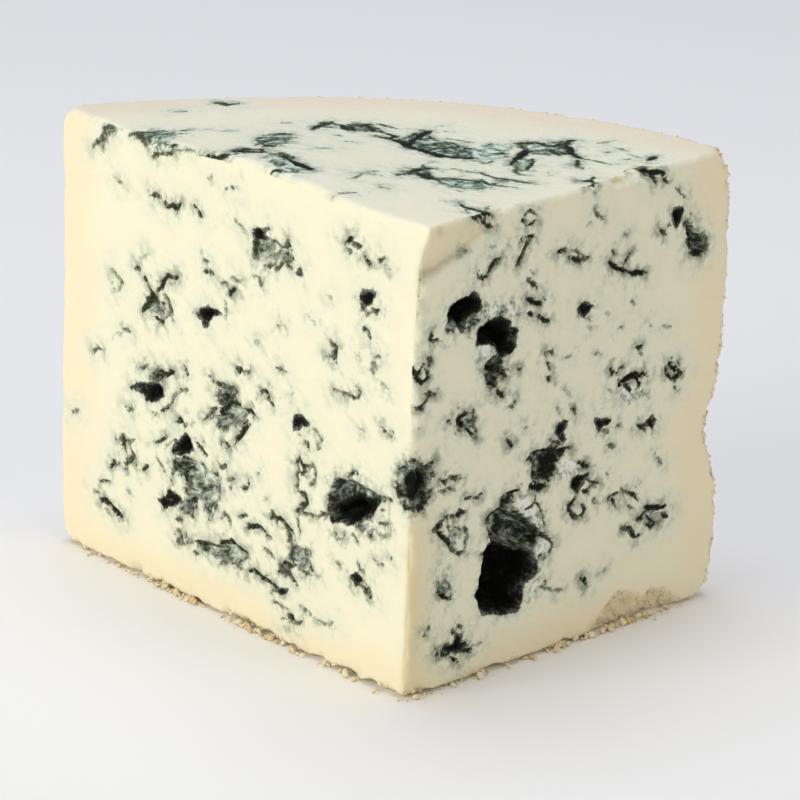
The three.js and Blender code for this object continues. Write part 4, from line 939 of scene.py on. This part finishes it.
# A mesh from corners in millimetres and triangles, with a value at each corner for every field
def newPiece(name, corners, faces, fields=()):
    mesh = bpy.data.meshes.new(name)
    mesh.vertices.add(len(corners))
    mesh.vertices.foreach_set("co", (corners / metre).ravel())
    mesh.loops.add(faces.size)
    mesh.loops.foreach_set("vertex_index", faces.ravel())
    mesh.polygons.add(len(faces))
    mesh.polygons.foreach_set("loop_start", np.arange(0, faces.size, 3))
    mesh.polygons.foreach_set("use_smooth", np.ones(len(faces), bool))
    mesh.update(calc_edges=True)
    for field in fields:
        attribute = mesh.attributes.new(field, "FLOAT", "POINT")
        attribute.data.foreach_set("value", fields[field])
    mesh.validate()
    piece = bpy.data.objects.new(name, mesh)
    bpy.context.scene.collection.objects.link(piece)
    return piece


faces = np.concatenate([splitQuads(points, quads), triangles])
cheese = newPiece("blue_cheese_wedge", points - middle, faces, marks)
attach(cheese, "root")
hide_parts("cheese_wedge")
print("wedge: mesh of", len(faces), "triangles")

# Crumbs: loose ones lie in heaps along the foot, small ones cling to the edges. A heap is how far out from
# the tip edge, and how many.
crumbs = {
    "seed": 23,
    "leftFoot": [(6, 6), (14, 8), (22, 10), (30, 14), (37, 26), (42, 34), (46, 24), (58, 16), (63, 28),
                 (67, 24), (73, 12), (80, 10), (90, 10)],
    "rightFoot": [(4, 8), (10, 12), (18, 12), (28, 14), (38, 18), (46, 24), (51, 26), (56, 26), (61, 24),
                  (66, 16)],
    "heapSpread": 2.2,
    "footRadius": (0.2, 0.85),
    "reach": 0.7,                 # of the loose crumbs from the side
    "tuck": 0.4,                  # of the nearest of them under it
    "rest": 0.7,                  # height of their middles, as a share of the radius
    "edgeRadius": (0.2, 0.7),
    "sink": 0.5,                  # of an edge crumb, as a share of its radius
    "shift": 0.15,                # of an edge crumb off its vertex
    "rimEdge": 440,
    "rightEdge": 300,
    "footEdge": 300,
    "chipEdge": 300,
    "edgeBand": 0.8,              # how near the edges the crumbs of the rim and the foot lie
    "rightBand": 1.8,             # and those of the right edge
    "rimFrom": 12,                # heights they start or end at
    "rightFrom": 3,
    "footTo": 1.2,
    "chipOut": (43, 73),          # where the chip's crumbs lie, and how deep
    "chipUp": (0.5, 9),
    "chipDeep": (0.3, 2.6),
    "chipPale": 0.15,             # how amber they are beside the others
    "bulge": (0.6, 1.2),          # of a corner, as a share of the radius
    "stretch": (0.45, 1.3),       # along each of three ways
    "longest": 1.6,               # a little more than a corner's furthest, as a share of the radius
}
rng = np.random.default_rng(crumbs["seed"])


# Crumbs are twenty-sided lumps, each corner moved in or out at random, stretched and turned at random.
def lumps(places, radii):
    golden = (1 + math.sqrt(5)) / 2
    ring = [(0, a, b * golden) for a in (-1, 1) for b in (-1, 1)]
    corners = np.array([np.roll(c, n) for n in range(3) for c in ring]) / math.hypot(1, golden)
    count = len(corners)
    near = np.linalg.norm(corners[:, None] - corners[None], axis=2) < 1.1  # an edge apart
    sides = np.array([(i, j, k) for i in range(count) for j in range(i) for k in range(j)
                      if near[i, j] and near[j, k] and near[i, k]])
    first, second, third = np.moveaxis(corners[sides], 1, 0)
    normals = np.cross(second - first, third - first)
    turned = (normals * corners[sides].sum(1)).sum(1) < 0
    sides[turned] = sides[turned][:, ::-1]
    turns = np.linalg.qr(rng.normal(size=(len(places), 3, 3)))[0]
    turns[np.linalg.det(turns) < 0] *= -1
    shapes = corners * rng.uniform(*crumbs["bulge"], (len(places), count, 1))
    shapes = shapes * rng.uniform(*crumbs["stretch"], (len(places), 1, 3))
    shapes = np.einsum("nij,nkj->nki", turns, shapes) * radii[:, None, None] + places[:, None]
    lumpSides = sides[None] + count * np.arange(len(places))[:, None, None]
    return shapes.reshape(-1, 3), lumpSides.reshape(-1, 3)


# Loose crumbs along the foot of a side: normal spread along it, and half a normal spread away from it
def footCrumbs(way, through, heaps):
    outs = np.concatenate([rng.normal(out, crumbs["heapSpread"], number) for out, number in heaps])
    radii = crumbs["footRadius"][0] + np.ptp(crumbs["footRadius"]) * rng.random(len(outs)) ** 3
    away = crumbs["reach"] * np.abs(rng.normal(size=len(outs))) - crumbs["tuck"]
    places = outs[:, None] * np.append(way, 0) + away[:, None] * through
    places[:, 2] = crumbs["rest"] * radii
    return places, radii


# Small crumbs sunk in the surface at vertices picked out of some places of the wedge
def edgeCrumbs(where, number):
    chosen = rng.choice(np.nonzero(where)[0], number)
    radii = crumbs["edgeRadius"][0] + np.ptp(crumbs["edgeRadius"]) * rng.random(number) ** 3
    sunk = points[chosen] - crumbs["sink"] * radii[:, None] * outward[chosen]
    return sunk + rng.normal(0, crumbs["shift"], (number, 3)), radii


# Whether values lie between two bounds
def between(values, bounds):
    return (values > bounds[0]) & (values < bounds[1])


band = crumbs["edgeBand"]
atRim = (depths[2] > -band) & (np.maximum(depths[1], depths[4]) > -band) & (plain[:, 2] > crumbs["rimFrom"])
atRight = (np.minimum(depths[1], depths[2]) > -crumbs["rightBand"]) & (plain[:, 2] > crumbs["rightFrom"])
atFoot = (plain[:, 2] < crumbs["footTo"]) & (np.maximum(depths[0], depths[1]) > -band)
a, b = facePlaces("right", plain)
sunken = depths[1] - faceDepths(points)[1]
atChip = (depths[1] > -relief["skin"]) & between(a, crumbs["chipOut"]) & between(b, crumbs["chipUp"])
atChip &= between(sunken, crumbs["chipDeep"])
groups = [
    footCrumbs(leftWay, faceAxes["left"], crumbs["leftFoot"]),
    footCrumbs(rightWay, faceAxes["right"], crumbs["rightFoot"]),
    edgeCrumbs(atRim, crumbs["rimEdge"]),
    edgeCrumbs(atFoot, crumbs["footEdge"]),
    edgeCrumbs(atRight, crumbs["rightEdge"]),
    edgeCrumbs(atChip, crumbs["chipEdge"]),
]
places = np.concatenate([group[0] for group in groups])
radii = np.concatenate([group[1] for group in groups])
lowest, highest = [np.array(corner) * metre + middle for corner in cadBox]
longest = crumbs["longest"] * radii[:, None]
places = np.clip(places, lowest + longest * (1, 1, 0), highest - longest)
lumpPoints, lumpFaces = lumps(places, radii)
lumpPoints[:, 2] = np.maximum(lumpPoints[:, 2], 0)
amber = rng.random(len(places)) ** 2
amber[-crumbs["chipEdge"]:] *= crumbs["chipPale"]
amber = np.repeat(amber, len(lumpPoints) // len(places))
loose = newPiece("cheese_crumbs", lumpPoints - middle, lumpFaces, {"amber": amber})
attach(loose, "root")
print("crumbs:", len(places), "lumps")


# sRGB hex to linear
def hexColour(code):
    channels = [int(code[n:n + 2], 16) / 255 for n in (1, 3, 5)]
    linear = [c / 12.92 if c <= 0.04045 else ((c + 0.055) / 1.055) ** 2.4 for c in channels]
    return (*linear, 1.0)


# A node with its settings, and its inputs set to values or linked to other nodes' outputs
def addNode(tree, kind, inputs, stops=(), **settings):
    node = tree.nodes.new("ShaderNode" + kind)
    if kind == "Mix":
        node.data_type = "RGBA"
    for name, value in settings.items():
        setattr(node, name, value)
    for name, value in inputs.items():
        if isinstance(value, bpy.types.NodeSocket):
            tree.links.new(value, node.inputs[name])
        else:
            node.inputs[name].default_value = value
    for number, (place, colour) in enumerate(stops):
        while len(node.color_ramp.elements) <= number:
            node.color_ramp.elements.new(place)
        node.color_ramp.elements[number].position = place
        node.color_ramp.elements[number].color = hexColour(colour)
    if settings.get("operation") == "DOT_PRODUCT":
        return node.outputs["Value"]
    return node.outputs[2] if kind == "Mix" else node.outputs[0]


# A material with its shader, and the object's coordinates in millimetres
def newMaterial(name):
    material = bpy.data.materials.new(name)
    material.use_nodes = True
    tree = material.node_tree
    coordinates = tree.nodes.new("ShaderNodeTexCoord").outputs["Object"]
    inMillimetres = addNode(tree, "VectorMath", {0: coordinates, "Scale": metre}, operation="SCALE")
    return material, tree, tree.nodes["Principled BSDF"], inMillimetres


# Knife-cut blue-veined paste: moist ivory curd, yellower towards the rind and paler round the mould. Mould
# lies on it as grey-green bloom in the hollows and as soft dark veins, and it is nearly black where it lines
# a hole.
paste = {
    "curd": "#F7F2D6",
    "margin": "#F9ECCB",
    "topMargin": "#F5E7CC",
    "halo": "#E9EDD6",
    # tanner paste of the flake, and painted shade at the low tip
    "flakeTanLowTipShade": "#EADDB2",
    # painted shadow below the flake
    "flakeEdgeShadow": "#857A58",
    "smearColour": "#C6CBB8",
    "soil": "#9BA18C",
    "topTint": "#E2F0E8",
    "bloomStops": [(0.0, "#F4F5EC"), (0.14, "#D5DACB"), (0.3, "#B3BBAC"), (0.46, "#889183"),
                   (0.62, "#585F52"), (0.84, "#262A20")],
    "veinStops": [(0.1, "#CDCFB9"), (0.28, "#9DA28B"), (0.46, "#676C58"), (0.64, "#383D2E"),
                  (0.88, "#15180F")],
    "liningStops": [(0.15, "#6B7065"), (0.4, "#24271F"), (0.7, "#090A07")],
    "roughness": (0.5, 0.88),   # of paste and of mould
    "specular": 0.22,
    "mottle": 13.0,      # mm
    "curdGrain": 0.8,    # mm
    "grainHeight": 0.25,
    "mouldHeight": -0.3,
    "raggedness": 0.9,   # mm, size of the unevenness of a vein's edge
    "down": 0.7,         # mm, grain of the bloom
    "smear": 2.0,        # mm across
    "run": (-0.53, 0.57, 0.62),  # the way the mould runs
    "drawOut": -0.45,    # of the smears along it
    "refraction": 1.44,
    "scatter": 2.5,      # mm that light travels in the paste
}
scattering = {"share": 0.25, "reach": (1.0, 0.7, 0.4)}  # of light in paste and crumbs: red furthest


# Each kind of mould is mixed over the paste by how far inside its marks a point lies, made ragged by noise.
def pasteMaterial():
    material, tree, shader, inMm = newMaterial("knifeCutBlueCheesePaste")
    field = {}
    for name in marks:
        reader = tree.nodes.new("ShaderNodeAttribute")
        reader.attribute_name = name
        field[name] = reader.outputs["Fac"]
    ragged = addNode(tree, "TexNoise", {"Vector": inMm, "Scale": 1 / paste["raggedness"], "Detail": 3.0,
                                        "Roughness": 0.6})
    ragged = addNode(tree, "Math", {0: ragged, 1: 0.5}, operation="SUBTRACT")
    down = addNode(tree, "TexNoise", {"Vector": inMm, "Scale": 1 / paste["down"], "Detail": 3.0,
                                      "Roughness": 0.65})
    down = addNode(tree, "Math", {0: down, 1: 0.5}, operation="SUBTRACT")
    clouds = addNode(tree, "TexNoise", {"Vector": inMm, "Scale": 1 / (3 * paste["down"]), "Detail": 2.0})
    clouds = addNode(tree, "Math", {0: clouds, 1: 0.5}, operation="SUBTRACT")

    # paste: ivory, yellower towards the rind, paler round the mould, tanner on the flake; painted shade at
    # the low tip and a painted shadow line below the flake
    mottle = addNode(tree, "TexNoise", {"Vector": inMm, "Scale": 1 / paste["mottle"], "Detail": 3.0})
    towardsRind = addNode(tree, "Math", {0: mottle, 1: 0.7, 2: field["margin"]}, operation="MULTIPLY_ADD")
    towardsRind = addNode(tree, "MapRange", {"Value": towardsRind, "From Min": 0.4, "From Max": 1.25},
                          interpolation_type="SMOOTHSTEP")
    marginColour = addNode(tree, "Mix", {0: field["upper"], 6: hexColour(paste["margin"]),
                                         7: hexColour(paste["topMargin"])})
    colour = addNode(tree, "Mix", {0: towardsRind, 6: hexColour(paste["curd"]), 7: marginColour})
    paleness = addNode(tree, "Math", {0: field["halo"], 1: 0.7}, operation="MULTIPLY")
    colour = addNode(tree, "Mix", {0: paleness, 6: colour, 7: hexColour(paste["halo"])})
    # painted shade: the low tip of the right side is made darker and tanner, with the flake's tanner paste
    colour = addNode(tree, "Mix", {0: field["flakeTanLowTipShade"], 6: colour, 7: hexColour(paste["flakeTanLowTipShade"])})
    # painted shadow: a soft brown line below the flake
    colour = addNode(tree, "Mix", {0: field["flakeEdgeShadow"], 6: colour, 7: hexColour(paste["flakeEdgeShadow"])})

    # smears: a noise drawn out along the way the mould runs, near the mould
    along = addNode(tree, "VectorMath", {0: inMm, 1: paste["run"]}, operation="DOT_PRODUCT")
    drawnOut = addNode(tree, "VectorMath", {0: paste["run"], "Scale": along}, operation="SCALE")
    drawnOut = addNode(tree, "VectorMath", {0: drawnOut, 1: [paste["drawOut"]] * 3, 2: inMm},
                       operation="MULTIPLY_ADD")
    smear = addNode(tree, "TexNoise", {"Vector": drawnOut, "Scale": 1 / paste["smear"], "Detail": 3.0,
                                       "Roughness": 0.55})
    smear = addNode(tree, "MapRange", {"Value": smear, "From Min": 0.46, "From Max": 0.7, "To Max": 0.85},
                    interpolation_type="SMOOTHSTEP")
    closeBy = addNode(tree, "Math", {0: field["halo"], 1: 2.0}, operation="POWER")
    gathered = addNode(tree, "MapRange", {"Value": mottle, "From Min": 0.38, "From Max": 0.56, "To Min": 0.2})
    nearMould = addNode(tree, "Math", {0: closeBy, 1: gathered}, operation="MULTIPLY")
    smear = addNode(tree, "Math", {0: smear, 1: nearMould}, operation="MULTIPLY")
    colour = addNode(tree, "Mix", {0: smear, 6: colour, 7: hexColour(paste["smearColour"])})
    soil = addNode(tree, "Math", {0: ragged, 1: 1.4, 2: field["soil"]}, operation="MULTIPLY_ADD")
    soil = addNode(tree, "Math", {0: clouds, 1: 2.4, 2: soil}, operation="MULTIPLY_ADD")
    soil = addNode(tree, "MapRange", {"Value": soil, "From Min": 0.15, "From Max": 1.2, "To Max": 0.95},
                   interpolation_type="SMOOTHSTEP")
    soil = addNode(tree, "Math", {0: soil, 1: closeBy}, operation="MULTIPLY")
    colour = addNode(tree, "Mix", {0: soil, 6: colour, 7: hexColour(paste["soil"])})

    # bloom: cloudy and grainy, with a darker seam round it
    bloomEdge = addNode(tree, "Math", {0: ragged, 1: 2.2, 2: field["patch"]}, operation="MULTIPLY_ADD")
    bloomEdge = addNode(tree, "Math", {0: clouds, 1: 1.6, 2: bloomEdge}, operation="MULTIPLY_ADD")
    bloom = addNode(tree, "MapRange", {"Value": bloomEdge, "From Min": -0.3, "From Max": 0.3},
                    interpolation_type="SMOOTHSTEP")
    seam = addNode(tree, "MapRange", {"Value": bloomEdge, "From Max": 0.9, "To Min": 0.2, "To Max": 0.0})
    bloomTone = addNode(tree, "Math", {0: down, 1: 1.3, 2: field["patchDark"]}, operation="MULTIPLY_ADD")
    bloomTone = addNode(tree, "Math", {0: clouds, 1: 2.0, 2: bloomTone}, operation="MULTIPLY_ADD")
    bloomTone = addNode(tree, "Math", {0: bloomTone, 1: seam}, operation="ADD")
    bloomColour = addNode(tree, "ValToRGB", {"Fac": bloomTone}, stops=paste["bloomStops"])
    colour = addNode(tree, "Mix", {0: bloom, 6: colour, 7: bloomColour})

    # veins: darker towards their middle
    veinEdge = addNode(tree, "Math", {0: ragged, 1: 1.3, 2: field["stroke"]}, operation="MULTIPLY_ADD")
    vein = addNode(tree, "MapRange", {"Value": veinEdge, "From Min": -0.18, "From Max": 0.14},
                   interpolation_type="SMOOTHSTEP")
    core = addNode(tree, "MapRange", {"Value": veinEdge, "From Min": -0.2, "From Max": 0.45, "To Min": -0.25,
                                      "To Max": 0.15})
    veinTone = addNode(tree, "Math", {0: field["strokeDark"], 1: 0.85, 2: core}, operation="MULTIPLY_ADD")
    veinTone = addNode(tree, "Math", {0: down, 1: 0.8, 2: veinTone}, operation="MULTIPLY_ADD")
    veinColour = addNode(tree, "ValToRGB", {"Fac": veinTone}, stops=paste["veinStops"])
    colour = addNode(tree, "Mix", {0: vein, 6: colour, 7: veinColour})

    # hole linings: a grey collar, nearly black inside
    liningEdge = addNode(tree, "Math", {0: ragged, 1: field["hole"]}, operation="ADD")
    lining = addNode(tree, "MapRange", {"Value": liningEdge, "From Min": -0.35, "From Max": -0.1},
                     interpolation_type="SMOOTHSTEP")
    liningTone = addNode(tree, "MapRange", {"Value": liningEdge, "From Min": -0.35, "From Max": 0.8,
                                            "To Min": 0.1, "To Max": 0.7})
    liningTone = addNode(tree, "Math", {0: down, 1: 0.9, 2: liningTone}, operation="MULTIPLY_ADD")
    liningTone = addNode(tree, "Math", {0: clouds, 1: 1.2, 2: liningTone}, operation="MULTIPLY_ADD")
    liningColour = addNode(tree, "ValToRGB", {"Fac": liningTone}, stops=paste["liningStops"])
    colour = addNode(tree, "Mix", {0: lining, 6: colour, 7: liningColour})

    # on the top the mould is greener
    stain = addNode(tree, "Math", {0: vein, 1: bloom}, operation="MAXIMUM")
    greener = addNode(tree, "Math", {0: stain, 1: field["upper"]}, operation="MULTIPLY")
    colour = addNode(tree, "Mix", {0: greener, 6: colour, 7: hexColour(paste["topTint"])},
                     blend_type="MULTIPLY")

    # finish: mould is rough and a little sunk, and the paste has a fine grain
    stain = addNode(tree, "Math", {0: stain, 1: lining}, operation="MAXIMUM")
    rough = addNode(tree, "MapRange", {"Value": stain, "To Min": paste["roughness"][0],
                                       "To Max": paste["roughness"][1]})
    grain = addNode(tree, "TexNoise", {"Vector": inMm, "Scale": 1 / paste["curdGrain"], "Detail": 4.0,
                                       "Roughness": 0.65})
    height = addNode(tree, "Math", {0: grain, 1: paste["grainHeight"]}, operation="MULTIPLY")
    height = addNode(tree, "Math", {0: stain, 1: paste["mouldHeight"], 2: height}, operation="MULTIPLY_ADD")
    lumpy = addNode(tree, "Math", {0: clouds, 1: field["halo"]}, operation="MULTIPLY")
    height = addNode(tree, "Math", {0: lumpy, 1: height}, operation="ADD")
    bump = addNode(tree, "Bump", {"Strength": 0.5, "Distance": 1 / metre, "Height": height})
    tree.links.new(colour, shader.inputs["Base Color"])
    tree.links.new(rough, shader.inputs["Roughness"])
    tree.links.new(bump, shader.inputs["Normal"])
    shader.inputs["IOR"].default_value = paste["refraction"]
    shader.inputs["Specular IOR Level"].default_value = paste["specular"]
    shader.inputs["Subsurface Weight"].default_value = scattering["share"]
    shader.inputs["Subsurface Radius"].default_value = scattering["reach"]
    shader.inputs["Subsurface Scale"].default_value = paste["scatter"] / metre
    return material


# Thin natural rind: dry tan skin under white bloom, with faint blue-grey patches and fine pores.
rind = {
    "skin": "#E6D5AE",
    "bloom": "#F1E8D2",
    "blue": "#B9BBAC",
    "poreSize": 1.4,    # mm
    "bloomSize": 7.0,   # mm
    "spotSize": 3.0,    # mm
    "roughness": 0.8,
    "band": 0.7,        # mm of the cuts beside the rim that are rind
    "footBand": 2.5,    # mm, below the foot height
    "footHeight": 1.5,  # mm
}


# Skin and bloom are mixed by a cloudy noise, and blue spots over them by a finer one.
def rindMaterial():
    material, tree, shader, inMm = newMaterial("bloomyCheeseRind")
    cloudy = addNode(tree, "TexNoise", {"Vector": inMm, "Scale": 1 / rind["bloomSize"], "Detail": 8.0,
                                        "Roughness": 0.72})
    bloomShare = addNode(tree, "MapRange", {"Value": cloudy, "From Min": 0.32, "From Max": 0.68},
                         interpolation_type="SMOOTHSTEP")
    colour = addNode(tree, "Mix", {0: bloomShare, 6: hexColour(rind["skin"]), 7: hexColour(rind["bloom"])})
    spots = addNode(tree, "TexNoise", {"Vector": inMm, "Scale": 1 / rind["spotSize"], "Detail": 4.0,
                                       "Roughness": 0.7})
    spotShare = addNode(tree, "MapRange", {"Value": spots, "From Min": 0.6, "From Max": 0.72, "To Max": 0.5})
    colour = addNode(tree, "Mix", {0: spotShare, 6: colour, 7: hexColour(rind["blue"])})
    pores = addNode(tree, "TexVoronoi", {"Vector": inMm, "Scale": 1 / rind["poreSize"]})
    height = addNode(tree, "Math", {0: cloudy, 1: 2.0, 2: pores}, operation="MULTIPLY_ADD")
    bump = addNode(tree, "Bump", {"Strength": 0.7, "Distance": 0.5 / metre, "Height": height})
    tree.links.new(colour, shader.inputs["Base Color"])
    tree.links.new(bump, shader.inputs["Normal"])
    shader.inputs["Roughness"].default_value = rind["roughness"]
    return material


# Crumbled paste: the same curd dried a little, from cream to amber.
crumb = {"cream": "#F6ECCB", "amber": "#DDB878", "roughness": 0.7, "grain": 0.4, "scatter": 1.0}


# Cream and amber are mixed by the share that each crumb holds, times a fine noise.
def crumbMaterial():
    material, tree, shader, inMm = newMaterial("crumbledBlueCheesePaste")
    reader = tree.nodes.new("ShaderNodeAttribute")
    reader.attribute_name = "amber"
    grain = addNode(tree, "TexNoise", {"Vector": inMm, "Scale": 1 / crumb["grain"], "Detail": 2.0})
    share = addNode(tree, "Math", {0: grain, 1: 0.4}, operation="ADD")
    share = addNode(tree, "Math", {0: share, 1: reader.outputs["Fac"]}, operation="MULTIPLY")
    colour = addNode(tree, "Mix", {0: share, 6: hexColour(crumb["cream"]), 7: hexColour(crumb["amber"])})
    bump = addNode(tree, "Bump", {"Strength": 0.4, "Distance": 0.1 / metre, "Height": grain})
    tree.links.new(colour, shader.inputs["Base Color"])
    tree.links.new(bump, shader.inputs["Normal"])
    shader.inputs["Roughness"].default_value = crumb["roughness"]
    shader.inputs["Subsurface Weight"].default_value = scattering["share"]
    shader.inputs["Subsurface Radius"].default_value = scattering["reach"]
    shader.inputs["Subsurface Scale"].default_value = crumb["scatter"] / metre
    return material


loose.data.materials.append(crumbMaterial())
cheese.data.materials.append(pasteMaterial())
cheese.data.materials.append(rindMaterial())
fromRim = depths[2][faces].mean(1)
high = plain[faces, 2].mean(1)
onRim = (fromRim > -rind["band"]) | (high < rind["footHeight"]) & (fromRim > -rind["footBand"])
onFoot = (high < 0.6) & (outward[faces, 2].mean(1) < -0.6)  # low, and facing down
cheese.data.polygons.foreach_set("material_index", (onRim | onFoot).astype(np.int32))
print("wedge: paste and rind finished")

# Floor: a plain pale sheet
card = {"size": 6000.0, "colour": "#FAF8F4", "roughness": 0.9}
corners = np.array([(-1, -1, 0), (1, -1, 0), (1, 1, 0), (-1, 1, 0)]) * card["size"] / 2
ground = newPiece("floor", corners, np.array([(0, 1, 2), (0, 2, 3)]))
groundMaterial = bpy.data.materials.new("mattPaleCard")
groundMaterial.use_nodes = True
groundShader = groundMaterial.node_tree.nodes["Principled BSDF"]
groundShader.inputs["Base Color"].default_value = hexColour(card["colour"])
groundShader.inputs["Roughness"].default_value = card["roughness"]
ground.data.materials.append(groundMaterial)

# Light: a large soft key low on the left, a weak fill on the right, a cool lamp overhead, a pale surround
lamps = {
    "key": {"place": (-760.0, -560.0, 360.0), "size": 620.0, "watts": 4.95, "colour": "#FFFAEE"},
    "fill": {"place": (620.0, -640.0, 520.0), "size": 700.0, "watts": 1.45, "colour": "#FFF0DA"},
    "overhead": {"place": (-60.0, 260.0, 1200.0), "size": 1100.0, "watts": 7.8, "colour": "#DEE8FF"},
}
surround = {"colour": "#F5F5F5", "strength": 0.37}
lookAt = Vector((0.0, 0.0, 42.0)) / metre
for name, lamp in lamps.items():
    light = bpy.data.lights.new(name, "AREA")
    light.shape = "DISK"
    light.size = lamp["size"] / metre
    light.energy = lamp["watts"]
    light.color = hexColour(lamp["colour"])[:3]
    holder = bpy.data.objects.new(name, light)
    holder.location = Vector(lamp["place"]) / metre
    holder.rotation_euler = (lookAt - holder.location).to_track_quat("-Z", "Y").to_euler()
    bpy.context.scene.collection.objects.link(holder)
world = bpy.data.worlds.new("paleSurround")
world.use_nodes = True
world.node_tree.nodes["Background"].inputs["Color"].default_value = hexColour(surround["colour"])
world.node_tree.nodes["Background"].inputs["Strength"].default_value = surround["strength"]
bpy.context.scene.world = world
bpy.context.scene.view_settings.view_transform = "Standard"

# Camera: where the photograph was taken from, with a longer lens
viewpoint = {"place": (26.0, -619.4, 258.9), "aim": (-3.0, 30.0, 44.2), "lens": 178.0, "roll": 1.24,
             "sensor": 36.0}
cameraData = bpy.data.cameras.new("camera")
cameraData.lens = viewpoint["lens"]
cameraData.sensor_width = viewpoint["sensor"]
camera = bpy.data.objects.new("camera", cameraData)
place = (Vector(viewpoint["place"]) - Vector(middle)) / metre
aim = (Vector(viewpoint["aim"]) - Vector(middle)) / metre
turned = (aim - place).to_track_quat("-Z", "Y").to_matrix().to_4x4()
turned = turned @ Matrix.Rotation(math.radians(viewpoint["roll"]), 4, "Z")
camera.matrix_world = Matrix.Translation(place) @ turned
bpy.context.scene.collection.objects.link(camera)
bpy.context.scene.camera = camera
print("stage: floor, light and camera")

bpy.context.view_layer.update()
